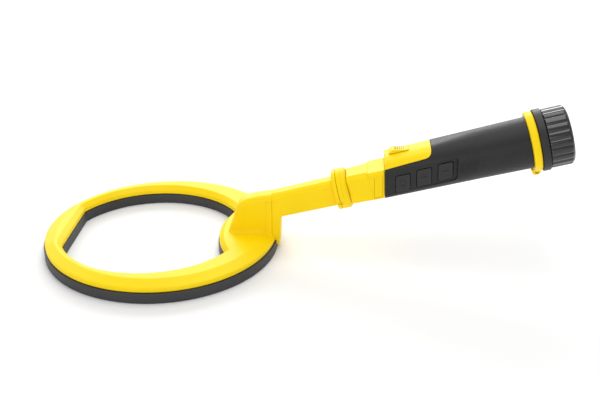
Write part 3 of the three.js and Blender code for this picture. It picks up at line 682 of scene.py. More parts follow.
@dataclass(frozen=True)
class Banded(Finish):
    """Printed plastic sleeve with plain colour bands round it."""

    second: Color = (0.8, 0.8, 0.8)
    tilt: float = 15.13

    def lay(self, sheet: NodeSheet) -> None:
        """Draws the sleeve.

        Args:
            sheet: the material's node tree.
        """
        along = sheet.turned_coords((0, math.radians(self.tilt), 0))
        bands = sheet.wave(7.0, along, "BANDS", "X")
        crinkle = sheet.noise(500, 4)
        tint = sheet.blend(bands, self.color, self.second)
        sheet.feed(Base_Color=tint, Normal=sheet.bump(crinkle, 0.00004, 0.5),
                   Roughness=sheet.spread(crinkle, self.roughness * 0.8, self.roughness * 1.3))
        sheet.set(Coat_Weight=0.6, Coat_Roughness=0.08)


@dataclass(frozen=True)
class Paper(Finish):
    """Matt pale sweep of the studio floor."""

    def lay(self, sheet: NodeSheet) -> None:
        """Draws the floor.

        Args:
            sheet: the material's node tree.
        """
        clouds = sheet.noise(3, 2)
        tint = sheet.blend(clouds, tone(self.color, 0.995), self.color)
        sheet.feed(Base_Color=tint, Normal=sheet.bump(sheet.noise(900, 3), 0.00003, 0.3),
                   Roughness=sheet.spread(clouds, self.roughness - 0.02, self.roughness))
        sheet.set(Specular_IOR_Level=0.1)


YELLOW = Moulded("yellow_plastic", (0.97, 0.69, 0.0), 0.42, grain_depth=0.000012, vary=0.02,
                 scuff=0.08, specular=0.2)
CHARCOAL = Moulded("charcoal_plastic", (0.03, 0.03, 0.033), 0.5, grain_depth=0.00004, vary=0.1)
SKIRT = Moulded("cap_plastic", (0.01, 0.01, 0.0115), 0.46, grain_depth=0.00003, vary=0.1)
SOFT_RUBBER = Moulded("grip_rubber", (0.0095, 0.0095, 0.011), 0.46, grain=1900, grain_depth=0.00004,
                      vary=0.1, sheen=0.03, specular=0.4)
KEY_RUBBER = Moulded("key_rubber", (0.01, 0.01, 0.011), 0.4, grain=2100, grain_depth=0.00004,
                     vary=0.08)
GLOSS_BLACK = Moulded("gloss_black_plastic", (0.004, 0.004, 0.005), 0.18, grain_depth=0.000006,
                      vary=0.1, scuff=0.07, coat=0.5)
NYLON = Moulded("nylon", (0.76, 0.74, 0.68), 0.5, grain=1800)
SEAL_RUBBER = Moulded("seal_rubber", (0.23, 0.045, 0.022), 0.6, grain=2400, sheen=0.2)
# Dark colour of the slider's dots: painted shade that stands for the shadows in the grooves of the thumb grip, not
# a colour the part has of its own.
SLIDER_DOT_SHADE = Moulded("slider_dot_shade", (0.05, 0.045, 0.04), 0.5)
STEEL = Metal("steel", (0.56, 0.57, 0.58), 0.26)
BRASS = Metal("brass", (0.72, 0.5, 0.2), 0.28)
RESIN = Poured("potting_resin", (0.012, 0.015, 0.02), 0.35)
BOARD = Board("circuit_board", (0.01, 0.11, 0.035), 0.4)
LENS = Clear("clear_lens", (0.86, 0.9, 0.93), 0.06)
CELL = Banded("cell_wrap", (0.03, 0.16, 0.38), 0.35, second=(0.72, 0.73, 0.75))
FLOOR = Paper("floor_paper", (0.93, 0.93, 0.93), 0.9)


# ---------------------------------------------------------------- pieces
@dataclass(frozen=True)
class Label:
    """What a piece is called, which body it moves with and which CAD nodes it stands for."""

    name: str
    body: str
    slot: str
    stands_for: tuple[str, ...] = ()


def finished(bm: BMesh, label: Label, finish: Finish, place: Matrix, sharp: float = 32.0) -> bpy.types.Object:
    """Makes a piece from a mesh in millimetres and puts it in the frame.

    Args:
        bm: the mesh; it is used up.
        label: the piece's name, body, slot and CAD nodes.
        finish: its finish.
        place: from the mesh's coordinates to the row frame.
        sharp: edges with a larger angle than this stay sharp, in degrees.

    Returns:
        The piece.
    """
    bmesh.ops.remove_doubles(bm, verts=bm.verts[:], dist=0.002)
    bmesh.ops.recalc_face_normals(bm, faces=bm.faces[:])
    bmesh.ops.transform(bm, matrix=place, verts=bm.verts[:])
    open_edges = sum(1 for edge in bm.edges if not edge.is_manifold)
    for face in bm.faces:
        face.smooth = True
    mesh = bpy.data.meshes.new(label.name)
    bm.to_mesh(mesh)
    bm.free()
    mesh.set_sharp_from_angle(angle=math.radians(sharp))
    mesh.materials.append(finish.material())
    piece = bpy.data.objects.new(label.name, mesh)
    bpy.context.scene.collection.objects.link(piece)
    weights = piece.modifiers.new("face_weights", "WEIGHTED_NORMAL")
    weights.keep_sharp = True
    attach(piece, label.body)
    if label.stands_for:
        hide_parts(*label.stands_for)
    log.info("%s: %d faces, %d open edges, rides on %s", label.name, len(mesh.polygons), open_edges,
             label.body)
    return piece


@dataclass(frozen=True)
class CoilOutline:
    """Outline of the coil seen from above: a round outside and a D-shaped opening with a tongue."""

    radius: float = 101.35
    neck_radius: float = 99.3
    opening_radius: float = 77.4
    opening_shift: float = -9.5
    chord: float = -79.0
    tongue_radius: float = 75.0
    tongue_x: float = 123.5
    slope_out: float = 10.8
    slope_in: float = 5.5
    steps: int = 180

    def outer(self, angle: float) -> float:
        """Returns the outside radius in a direction."""
        along = self.neck_radius if math.cos(angle) > 0 else self.radius
        return 1 / math.hypot(math.cos(angle) / along, math.sin(angle) / self.radius)

    def inner(self, angle: float) -> float:
        """Gives the radius of the opening in a direction.

        Args:
            angle: the direction, from the neck.

        Returns:
            The radius to the circle, the straight edge or the tongue, whichever comes first.
        """
        c = math.cos(angle)
        onto = self.opening_shift * c
        reach = onto + math.sqrt(onto ** 2 + self.opening_radius ** 2 - self.opening_shift ** 2)
        if c < 0:
            reach = min(reach, self.chord / c)
        to_tongue = self.tongue_x * c
        under = to_tongue ** 2 + self.tongue_radius ** 2 - self.tongue_x ** 2
        if c > 0 and under > 0:
            reach = min(reach, to_tongue - math.sqrt(under))
        return reach

    def angles(self) -> list[float]:
        """Lists the directions of the stations, with one at each corner of the opening.

        Returns:
            Angles in order round the coil.
        """
        chord_y = math.sqrt(self.opening_radius ** 2 - (self.chord - self.opening_shift) ** 2)
        chord = math.atan2(chord_y, self.chord)
        span = self.tongue_x - self.opening_shift
        along = (span ** 2 + self.opening_radius ** 2 - self.tongue_radius ** 2) / (2 * span)
        tongue = math.atan2(math.sqrt(self.opening_radius ** 2 - along ** 2),
                            self.opening_shift + along)
        corners = [chord, tongue, FULL_TURN - chord, FULL_TURN - tongue]
        step = FULL_TURN / self.steps
        even = [(i + 0.5) * step for i in range(self.steps)]
        kept = [a for a in even if all(abs(a - corner) > 0.45 * step for corner in corners)]
        return sorted(kept + corners)

    def row(self, side: str, inward: float, z: float) -> list[Point]:
        """Gives one row of points that follows the outline.

        Args:
            side: out for the outside edge, in for the opening's edge.
            inward: distance from that edge into the coil.
            z: height of the row.

        Returns:
            The row's points.
        """
        points = []
        for a in self.angles():
            narrow = min(1.0, (self.outer(a) - self.inner(a)) / (self.slope_out + self.slope_in + 2.2))
            by = inward * narrow if inward > 4 else inward
            reach = self.outer(a) - by if side == "out" else self.inner(a) + by
            points.append((reach * math.cos(a), reach * math.sin(a), z))
        return points

    def ring(self, profile: Sequence[tuple[str, float, float]]) -> BMesh:
        """Makes a ring from (side, inward, z) corners that run round its section."""
        return skin([self.row(*corner) for corner in profile], closed=True)


@dataclass
class SearchHead:
    """Coil, elbow and arm: everything on the side of the joint that sweeps over the ground."""

    place: Matrix
    handle: Matrix
    outline: CoilOutline = field(default_factory=CoilOutline)
    tray_height: float = 9.0
    shoulder: float = 13.3
    crown: float = 16.4
    screws: tuple[float, float] = (66.5, 86.0)
    elbow_half: float = 9.2
    arm_half: float = 8.5
    bracket: Spot = (95.3, 102.6)
    seam: float = 50.6
    flange_radius: float = 17.0
    spigot_radius: float = 9.0
    joint_low: float = -4.25
    pivot: float = 101.5
    tilt: float = math.radians(15.13)

    def build(self) -> None:
        """Makes the head's pieces."""
        self.tray()
        self.cover()
        self.elbow()
        self.arm()

    def tray(self) -> None:
        """Makes the dark tray: two upright walls on a flat sole, with two screw sockets."""
        top, wall, sole = self.tray_height, 2.0, 2.2
        bm = self.outline.ring([
            ("in", 1.0, 0), ("out", 1.0, 0), ("out", 0.35, 0.2), ("out", 0, 0.9),
            ("out", 0, top - 0.5), ("out", 0.15, top - 0.15), ("out", 0.5, top), ("out", wall, top),
            ("out", wall, sole), ("in", wall, sole), ("in", wall, top), ("in", 0.5, top),
            ("in", 0.15, top - 0.15), ("in", 0, top - 0.5), ("in", 0, 0.9), ("in", 0.35, 0.2),
        ])
        tools = []
        for x in self.screws:
            socket = turned([(-1, 0), (-1, 3.7), (0.35, 3.35), (1.8, 3.35), (1.8, 0)], 32)
            hole = turned([(1, 0), (1, 1.9), (8, 1.9), (8, 0)], 24)
            for tool in (socket, hole):
                bmesh.ops.rotate(tool, verts=tool.verts[:], matrix=Matrix.Rotation(-math.pi / 2, 3, "Y"))
                bmesh.ops.translate(tool, verts=tool.verts[:], vec=(x, 0, 0))
                tools.append(tool)
        finished(carved(bm, *tools), Label("sole_tray", "search_head", "charcoal_plastic", ("coil_tray",)),
                 CHARCOAL, self.place)

    def cover(self) -> None:
        """Makes the yellow cover: a low roof with a soft crown and a lip inside the tray."""
        s, c = self.shoulder, self.crown
        o, i = self.outline.slope_out, self.outline.slope_in
        gap = self.tray_height + 0.35
        bm = self.outline.ring([
            ("out", 1.7, gap), ("out", 1.4, gap + 0.3), ("out", 1.25, s - 1.1),
            ("out", 1.45, s - 0.35), ("out", 2.1, s + 0.1), ("out", 3.0, s + 0.35),
            ("out", o - 0.7, c - 0.3), ("out", o, c - 0.08), ("out", o + 0.7, c), ("in", i + 0.7, c),
            ("in", i, c - 0.14), ("in", i - 0.7, c - 0.5), ("in", 2.1, s + 0.35), ("in", 1.4, s - 0.05),
            ("in", 1.0, s - 0.6), ("in", 0.9, s - 1.3), ("in", 0.95, gap + 0.35), ("in", 1.3, gap),
            ("in", 2.3, gap), ("in", 2.3, 7), ("in", 3.8, 7), ("in", 3.8, s - 1.5),
            ("in", i + 1, c - 1.6), ("out", o, c - 1.6), ("out", 3.8, s - 1.5), ("out", 3.8, 7),
            ("out", 2.3, 7), ("out", 2.3, gap),
        ])
        finished(bm, Label("coil_ring_cover", "search_head", "yellow_plastic", ("coil_cover",)),
                 YELLOW, self.place, sharp=28)

    def roof(self, x: float) -> float:
        """Gives the cover's height under the elbow.

        Args:
            x: place along the middle line.

        Returns:
            The height of the cover's top there.
        """
        ridge = self.outline.neck_radius - self.outline.slope_out
        fall = (self.crown - self.shoulder) / (self.outline.slope_out - 1.7)
        return self.crown - max(x - ridge, 0) * fall

    def elbow_section(self, x: float, top: float) -> list[Point]:
        """Gives the elbow's section at one place.

        Args:
            x: place along the middle line.
            top: height of the section's middle.

        Returns:
            Its points, with a flared foot and an arched top.
        """
        w = self.elbow_half
        base = self.roof(x) - 0.4
        tall = top - base
        scale = min(1.0, tall / 9)
        half = [(w + 2.2 * scale, 0.0), (w + 1.1 * scale, 0.75 * scale), (w + 0.4 * scale, 1.7 * scale),
                (w, 3.2 * scale), (w - 0.02, tall * 0.5), (w - 0.15, tall - 4.6 * scale)]
        for k in range(1, 7):
            a = k / 6 * math.pi / 2
            half.append((w - 0.15 - (w - 3.4) * (1 - math.cos(a)), tall - 4.6 * scale * (1 - math.sin(a))))
        left = [(-y, z) for y, z in reversed(half)]
        return [(x, y, base + z) for y, z in half + left]

    def elbow(self) -> None:
        """Makes the elbow that carries the arm, with its two upright ribs."""
        tops = [(57.2, 14.6), (58.0, 17.2), (61.0, 25.4), (64.4, 34.8), (66.9, 41.6), (67.9, 43.0),
                (69.4, 44.3), (74, 46.4), (84, 48.8), (94.9, 50.6), (95.25, 50.4)]
        bm = skin([self.elbow_section(x, top) for x, top in tops])
        ribs = []
        for side in (-1, 1):
            rib = plate([(88.4, 14.2), (95.2, 13.0), (95.2, 47.4), (92.0, 46.4), (90.9, 44.6), (90.2, 22.0)],
                        side * (self.elbow_half + 0.75), side * (self.elbow_half - 2), 0.8)
            ribs.append(round_edges(rib, 0.35, 2, 40))
        finished(joined(bm, *ribs), Label("neck_elbow_body", "search_head", "yellow_plastic",
                                          ("neck_elbow",)), YELLOW, self.place, sharp=34)

    def tube_section(self, grow: float) -> list[Spot]:
        """Gives the arm's section.

        Args:
            grow: how much wider it is than at the bracket.

        Returns:
            (y, z) points in handle coordinates.
        """
        w = self.arm_half + grow
        corners = [(-w, -14.8 - grow, 1.3), (w, -14.8 - grow, 1.3), (w, 2.7, 1.6), (w - 1.7, 5.1, 1.2),
                   (w - 4.4, 6.4 + grow, 1.6), (4.4 - w, 6.4 + grow, 1.6), (1.7 - w, 5.1, 1.2),
                   (-w, 2.7, 1.6)]
        return rounded(corners, 3)

    def arm(self) -> None:
        """Makes the arm: bracket, tube, flange and the spigot that plugs into the handle."""
        x0, x1 = self.bracket
        section = self.tube_section(-0.04)
        lean = math.tan(self.tilt)
        start = (x0 - self.pivot) / math.cos(self.tilt)
        rows = [[(start + lean * z, y, z) for y, z in section]]
        rows += [station(4, section), station(self.seam - 2.9, self.tube_section(0.3))]
        tube = skin(rows)
        end = self.seam + 16.6
        r, sr = self.flange_radius, self.spigot_radius
        spigot = turned([
            (self.seam - 3.4, 6.6), (self.seam - 3.4, r - 0.9), (self.seam - 3.0, r - 0.25),
            (self.seam - 2.3, r), (self.seam - 0.35, r), (self.seam, r - 0.35), (self.seam, sr),
            (self.seam + 8, sr), (self.seam + 8, sr - 1.2), (self.seam + 10.4, sr - 1.2),
            (self.seam + 10.4, sr), (end - 1, sr), (end, sr - 1), (end, 6.6),
        ], 112, self.joint_low, loop=True)
        notch = plate([(self.seam - 1.7, -12.2), (self.seam + 1, -12.2), (self.seam + 1, -8.8),
                       (self.seam - 1.7, -8.8)], -r - 1, -r + 2.6, 0.5)
        spigot = carved(spigot, notch)
        bottom, w = 5.0, self.arm_half
        levels = [(bottom, 0.9, 1.4), (bottom + 0.5, 0.3, 0.5), (bottom + 1.4, 0, 0), (20, 0, -0.5),
                  (30, 0, -0.7), (44.5, 0, -0.7), (47.2, 0.6, -0.6), (48.8, 2.4, 0.2)]
        rows = []
        for z, narrow, short in levels:
            box = [(x0, narrow - w, 0.2), (x1 - 0.7 - short, narrow - w, 1.0),
                   (x1 - 0.7 - short, w - narrow, 1.0), (x0, w - narrow, 0.2)]
            rows.append([(x, y, z) for x, y in rounded(box, 3)])
        shoe = skin(rows)
        bmesh.ops.transform(shoe, matrix=self.handle.inverted() @ self.place, verts=shoe.verts[:])
        finished(joined(tube, shoe, spigot), Label("neck_arm_body", "search_head", "yellow_plastic",
                                                   ("neck_arm",)), YELLOW, self.handle, sharp=34)


@dataclass
class LockCollar:
    """Turning collar that locks the head to the handle."""

    place: Matrix
    start: float = 50.9
    end: float = 59.0
    radius: float = 17.0
    bore: float = 12.5
    low: float = -4.25

    def build(self) -> None:
        """Makes the collar with its thumb bump and the notch that marks the open position."""
        r, a, b = self.radius, self.start, self.end
        ring = turned([
            (a, self.bore), (a, r - 0.35), (a + 0.35, r), (a + 3.4, r), (a + 3.7, r - 0.25),
            (a + 4.1, r - 0.25), (a + 4.4, r), (b - 1.7, r), (b - 1.1, r - 0.3), (b - 0.2, r - 1.3),
            (b, r - 1.8), (b, self.bore),
        ], 112, self.low, loop=True)
        notch = plate([(a - 1, -12.2), (a + 1.9, -12.2), (a + 1.9, -8.8), (a - 1, -8.8)], -r - 1,
                      -r + 2.6, 0.5)
        ring = carved(ring, notch)
        bump = plate([(a + 2.2, -13.9), (a + 6.2, -13.9), (a + 6.2, -10.2), (a + 2.2, -10.2)],
                     -14.2, -15.9, 0.8)
        round_edges(bump, 0.4, 3, 40)
        finished(joined(ring, bump), Label("lock_collar_ring", "lock_collar", "yellow_plastic",
                                           ("lock_collar",)), YELLOW, self.place)


@dataclass(frozen=True)
class GripForm:
    """Outside of the grip: a rounded square in front that turns round towards the back."""

    seam: float = 89.9
    lean: float = 0.22
    end: float = 208.2
    square: float = 16.0
    square_corner: float = 5.0
    round_radius: float = 21.0
    blend_start: float = 88.0
    blend_end: float = 165.0
    quarter: int = 12

    def seam_x(self, z: float, shift: float = 0.0) -> float:
        """Returns the place of the leaning seam at a height, moved back by a shift."""
        return self.seam + self.lean * z + shift

    def section(self, x: float, inset: float = 0.0) -> list[Spot]:
        """Gives the section at one place.

        Args:
            x: place along the handle.
            inset: distance inside the surface.

        Returns:
            (y, z) points.
        """
        share = min(max((x - self.blend_start) / (self.blend_end - self.blend_start), 0), 1)
        tail = max((x - self.blend_end) / (self.end - self.blend_end), 0)
        waist = self.round_radius - 0.7
        half = self.square + (waist - self.square) * share + 0.7 * tail - inset
        corner = self.square_corner + (waist - self.square_corner) * share + 0.7 * tail - inset
        corner = min(max(corner, 1.5), half - 0.02)
        points = []
        for k in range(4):
            turn = k * math.pi / 2
            centre = Vector((half - corner, half - corner))
            centre.rotate(Matrix.Rotation(turn, 2))
            for i in range(self.quarter + 1):
                a = turn + i / self.quarter * math.pi / 2
                points.append((centre.x + corner * math.cos(a), centre.y + corner * math.sin(a)))
        return points

    def tube(self, start: float, end: float, inset: float, leaning: float | None = None) -> BMesh:
        """Makes a closed bar that follows the grip's form.

        Args:
            start: where it begins.
            end: where it ends.
            inset: distance inside the grip's surface.
            leaning: shift of the seam where it begins there; start is not used then.

        Returns:
            The bar.
        """
        first = self.section(start, inset)
        rows = [station(start, first)]
        if leaning is not None:
            first = self.section(self.seam, inset)
            rows = [[(self.seam_x(z, leaning), y, z) for y, z in first]]
            start = self.seam + 5
        stops = [s for s in range(96, 206, 7) if start + 1 < s < end - 1]
        rows += [station(s, self.section(s, inset)) for s in stops]
        rows.append(station(end, self.section(end, inset)))
        return skin(rows)

    def side(self, x: float, z: float) -> float:
        """Gives the distance of the surface from the middle plane.

        Args:
            x: place along the handle.
            z: height above its axis.

        Returns:
            The half width of the grip there.
        """
        points = [p for p in self.section(x) if p[0] > 0]
        points.sort(key=lambda p: p[1])
        for (y0, z0), (y1, z1) in zip(points, points[1:]):
            if z0 <= z <= z1 and z1 > z0:
                return y0 + (y1 - y0) * (z - z0) / (z1 - z0)
        return points[0][0]


def leaning_box(x: float, z: float, width: float, height: float, lean: float) -> list[Spot]:
    """Gives the corners of a rectangle whose upright sides lean.

    Args:
        x: its middle along the handle.
        z: its middle height.
        width: size along the handle.
        height: size upwards.
        lean: how far it leans for each unit of height.

    Returns:
        Its four corners.
    """
    w, h = width / 2, height / 2
    return [(x + u + lean * v, z + v) for u, v in ((-w, -h), (w, -h), (w, h), (-w, h))]


@dataclass
class HandleBody:
    """Yellow body of the handle: socket, coupling box, inner tube, rear ring and lanyard lug."""

    place: Matrix
    form: GripForm
    nose: float = 50.9
    nose_radius: float = 12.2
    socket_radius: float = 9.3
    socket_end: float = 86.0
    front: float = 59.3
    step: float = 77.6
    low: float = -4.25
    ring: Spot = (208.4, 214.7)
    ring_radius: float = 24.5
    neck_radius: float = 19.6
    neck_end: float = 228.3

    def build(self) -> None:
        """Makes the body and the two plates on the sides of the coupling."""
        body = joined(self.coupling(), self.tube(), self.rear(), self.lug())
        finished(body, Label("handle_body", "handle", "yellow_plastic", ("handle_core",)), YELLOW,
                 self.place, sharp=34)
        self.plates()

    def coupling_section(self, w: float, top: float, edge: float, high: float, bottom: float,
                         soft: float = 0.6) -> list[Spot]:
        """Gives a section of the coupling.

        Args:
            w: half width.
            top: half width of the flat top.
            edge: height of the edge between side and chamfer.
            high: height of the top.
            bottom: height of the underside.
            soft: radius of the edges.

        Returns:
            (y, z) points.
        """
        corners = [(w, bottom, 1.5), (w, edge, soft), (top, high, soft), (-top, high, soft),
                   (-w, edge, soft), (-w, bottom, 1.5)]
        return rounded(corners, 4)

    def coupling(self) -> BMesh:
        """Makes the coupling box with the round socket in its front.

        Returns:
            Its closed mesh.
        """
        thin = self.coupling_section(12.8, 8.6, 6.3, 8.7, -15)
        thick = self.coupling_section(14.2, 10, 5.8, 9.15, -15)
        wide = self.coupling_section(14.9, 13.1, 7.4, 9.2, -14.9)
        eased = self.coupling_section(14.6, 12.8, 7.2, 8.95, -14.7)
        front = self.coupling_section(12.4, 8.3, 6.0, 8.3, -14.6)

        def ring(x: float, radius: float) -> list[Point]:
            """Stands a circle with the coupling's number of points at a place."""
            return station(x, on_circle(thin, radius, self.low))

        rows = [
            ring(self.socket_end, self.socket_radius), ring(self.nose + 0.5, self.socket_radius),
            ring(self.nose, self.socket_radius + 0.5), ring(self.nose, self.nose_radius - 0.4),
            ring(self.nose + 0.4, self.nose_radius), ring(self.front, self.nose_radius),
            station(self.front, front), station(self.front + 0.4, thin), station(self.step, thick),
            station(self.step, eased), station(self.step + 0.35, wide),
            [(self.form.seam_x(z, -0.4), y, z) for y, z in wide],
            [(self.form.seam_x(z), y, z) for y, z in eased],
        ]
        bm = skin(rows)
        recesses = []
        for side in (-1, 1):
            outline = leaning_box(83.9, -4.2, 7.1, 18.1, self.form.lean)
            recesses.append(plate(outline, side * 16, side * 13.3, 0.9))
        return carved(bm, *recesses)

    def tube(self) -> BMesh:
        """Makes the inner tube under the rubber, open in front of the keys.

        Returns:
            Its closed mesh.
        """
        bm = self.form.tube(0, self.ring[0] + 0.5, 2.8, leaning=0.1)
        hollow = self.form.tube(94, 151, 4.7)
        bore = turned([(150, 0), (150, 13.4), (165, 15.2), (212, 15.8), (212, 0)], 64)
        window = plate([(95.4, -12.2), (147.2, -12.2), (147.2, 5.8), (95.4, 5.8)], -20, -10, 1)
        flat = block(92, 152, -20, -13.9, -30, 30)
        lamp = block(85, 131, -8.6, 8.6, 12.5, 30)
        return carved(bm, hollow, bore, window, flat, lamp)

    def rear(self) -> BMesh:
        """Makes the rear ring and the neck that the cap screws onto.

        Returns:
            Its closed mesh.
        """
        a, b = self.ring
        r, n, e = self.ring_radius, self.neck_radius, self.neck_end
        profile = [
            (a, 16.2), (a, r - 1.3), (a + 0.3, r - 0.55), (a + 1.0, r - 0.08), (a + 1.7, r),
            (b - 1.7, r), (b - 1.0, r - 0.08), (b - 0.3, r - 0.55), (b, r - 1.3), (b, n), (b + 2, n),
            (b + 2, n - 1.4), (b + 4.4, n - 1.4), (b + 4.4, n), (b + 5.4, n),
        ]
        x = b + 5.8
        while x + 1.6 < e - 1:
            profile += [(x, n), (x + 0.25, n + 0.3), (x + 0.65, n + 0.3), (x + 0.9, n)]
            x += 2.0
        profile += [(e - 1, n), (e, n - 1), (e, 16.2)]
        return turned(profile, 112, loop=True)

    def lug(self) -> BMesh:
        """Makes the lug under the rear ring, with a hole for a wrist cord.

        Returns:
            Its closed mesh.
        """
        bm = plate([(206.9, -23.0), (206.9, -25.9), (208.4, -27.8), (212.6, -27.8), (213.8, -26.2),
                    (213.8, -23.0)], -4.2, 4.2, 0.9)
        round_edges(bm, 0.9, 3, 50, lambda m: m.z < -23.4)
        hole = turned([(-7, 0), (-7, 1.6), (7, 1.6), (7, 0)], 24)
        bmesh.ops.rotate(hole, verts=hole.verts[:], matrix=Matrix.Rotation(math.pi / 2, 3, "Z"))
        bmesh.ops.translate(hole, verts=hole.verts[:], vec=(210.6, 0, -25.5))
        return carved(bm, hole)

    def plates(self) -> None:
        """Makes the two leaning plates set into the sides of the coupling."""
        for name, node, side in (("coupling_plate_right", "side_plate_right", -1),
                                 ("coupling_plate_left", "side_plate_left", 1)):
            outline = leaning_box(83.9, -4.2, 6.8, 17.8, self.form.lean)
            bm = plate(outline, side * 13.6, side * 14.55, 0.7)
            round_edges(bm, 0.25, 2, 50)
            finished(bm, Label(name, "handle", "yellow_plastic", (node,)), YELLOW, self.place)


@dataclass
class GripSleeve:
    """Soft rubber sleeve with its rib patches."""

    place: Matrix
    form: GripForm
    hood: Sequence[Spot]
    panel: Sequence[Spot]
    wall: float = 2.4
    rib_start: float = 151.6
    rib_pitch: float = 1.75
    ribs: int = 9

    def build(self) -> None:
        """Makes the sleeve and the rib patches on both of its sides."""
        bm = self.form.tube(0, self.form.end, 0, leaning=0.3)
        inside = self.form.tube(80, self.form.end + 2, self.wall)
        hood = plate(self.hood, -40, 40)
        panel = plate(self.panel, -40, -8)
        bm = carved(bm, inside, hood, panel)
        round_edges(bm, 0.35, 2, 55)
        finished(bm, Label("rubber_sleeve", "handle", "grip_rubber", ("grip_sleeve",)), SOFT_RUBBER,
                 self.place, sharp=38)
        patches = [self.patch(side) for side in (-1, 1)]
        finished(joined(*patches), Label("sleeve_ribs", "handle", "grip_rubber"), SOFT_RUBBER,
                 self.place, sharp=38)

    def patch(self, side: int) -> BMesh:
        """Makes one patch of upright ribs under a thin header rib.

        Args:
            side: -1 or 1, the side of the handle.

        Returns:
            The patch's mesh.
        """
        ribs = []
        for i in range(self.ribs):
            x = self.rib_start + i * self.rib_pitch
            ribs.append(self.strip(side, [(x, z) for z in (-7.5, -4.5, -1.5, 1.5, 4.6)], 0.42))
        head = [(self.rib_start + 0.4 + k * 3.2, 6.8) for k in range(6)]
        ribs.append(self.strip(side, head, 0.3))
        return joined(*ribs)

    def strip(self, side: int, path: Sequence[Spot], half: float) -> BMesh:
        """Makes a rib that lies on the sleeve.

        Args:
            side: -1 or 1, the side of the handle.
            path: (x, z) places along the rib.
            half: half of its width.

        Returns:
            The rib's mesh.
        """
        upright = path[0][0] == path[1][0]
        rows = []
        last = len(path) - 1
        for i, (x, z) in enumerate(path):
            narrow = 0.5 if i in (0, last) else 1.0
            row = []
            for u, proud in ((-half, -0.4), (-half * 0.9, 0.02), (-half * 0.5, 0.3 * narrow),
                             (half * 0.5, 0.3 * narrow), (half * 0.9, 0.02), (half, -0.4)):
                px, pz = (x + u + 0.22 * z, z) if upright else (x, z + u)
                row.append((px, side * (self.form.side(px, pz) + proud), pz))
            rows.append(row)
        return skin(rows)


class Sign(Enum):
    """Raised sign on a key."""

    POWER = "power"
    PLUS = "plus"
    MINUS = "minus"


@dataclass
class KeyPanel:
    """Flat panel with three leaning keys."""

    place: Matrix
    form: GripForm
    outline: Sequence[Spot]
    width: float = 12.0
    height: float = 14.2
    face: float = -17.0
    back: float = -13.6
    panel_face: float = -16.3
    panel_back: float = -14.2
    corner: float = 1.5
    keys: tuple[tuple[str, float, float, Sign], ...] = (
        ("power", 104.0, -4.35, Sign.POWER), ("plus", 121.6, -3.1, Sign.PLUS),
        ("minus", 139.2, -2.1, Sign.MINUS))

    def build(self) -> None:
        """Makes the panel and its keys."""
        bm = plate(self.outline, self.panel_back, self.panel_face, 0.4)
        windows = [self.key_outline(x, z, 0.35) for _, x, z, _ in self.keys]
        bm = carved(bm, *[plate(window, -30, 0, self.corner + 0.2) for window in windows])
        round_edges(bm, 0.3, 2, 50, lambda m: m.y < self.panel_face + 0.1)
        finished(bm, Label("key_surround", "handle", "grip_rubber", ("key_frame",)), SOFT_RUBBER,
                 self.place, sharp=38)
        for name, x, z, sign in self.keys:
            self.key(name, x, z, sign)

    def key_outline(self, x: float, z: float, grow: float) -> list[Spot]:
        """Returns the corners of a key, grown on every side."""
        return leaning_box(x, z, self.width + 2 * grow, self.height + 2 * grow, self.form.lean)

    def key(self, name: str, x: float, z: float, sign: Sign) -> None:
        """Makes one key: a pad with a shallow dish and a raised sign.

        Args:
            name: the key's name.
            x: its middle along the handle.
            z: its middle height.
            sign: the sign on it.
        """
        f = self.face
        levels = [(0, self.back), (0, f + 0.5), (-0.1, f + 0.2), (-0.35, f + 0.03), (-0.6, f),
                  (-1.1, f), (-1.7, f + 0.12), (-2.4, f + 0.3)]
        rows = []
        for grow, y in levels:
            radius = max(self.corner + grow, 0.35)
            corners = [(u, v, radius) for u, v in self.key_outline(x, z, grow)]
            rows.append([(u, y, v) for u, v in rounded(corners, 5)])
        bm = skin(rows)
        marks = self.sign(sign, x, z)
        finished(joined(bm, *marks), Label("key_pad_" + name, "key_" + name, "charcoal_plastic",
                                           ("key_" + name,)), KEY_RUBBER, self.place, sharp=40)

    def sign(self, sign: Sign, x: float, z: float) -> list[BMesh]:
        """Makes the bars of a raised sign.

        Args:
            sign: which sign.
            x: its middle along the handle.
            z: its middle height.

        Returns:
            The bars' meshes.
        """
        y0, y1 = self.face + 0.6, self.face - 0.06
        if sign is Sign.MINUS:
            return [self.bar(x - 2.6, x + 2.6, z - 0.45, z + 0.45, y0, y1)]
        if sign is Sign.PLUS:
            return [self.bar(x - 2.6, x + 2.6, z - 0.45, z + 0.45, y0, y1),
                    self.bar(x - 0.45, x + 0.45, z + 0.5, z + 2.6, y0, y1),
                    self.bar(x - 0.45, x + 0.45, z - 2.6, z - 0.5, y0, y1)]
        rows = []
        for k in range(17):
            a = math.radians(125 + k * 290 / 16)
            c, s = math.cos(a), math.sin(a)
            rows.append([(x + r * c, y, z - 0.2 + r * s) for r, y in ((2.9, y0), (2.9, y1), (2.1, y1), (2.1, y0))])
        return [skin(rows), self.bar(x - 0.4, x + 0.4, z + 0.9, z + 3.4, y0, y1)]

    def bar(self, x0: float, x1: float, z0: float, z1: float, y0: float, y1: float) -> BMesh:
        """Makes a bar with rounded ends."""
        return plate([(x0, z0), (x1, z0), (x1, z1), (x0, z1)], y0, y1, 0.3, 3)


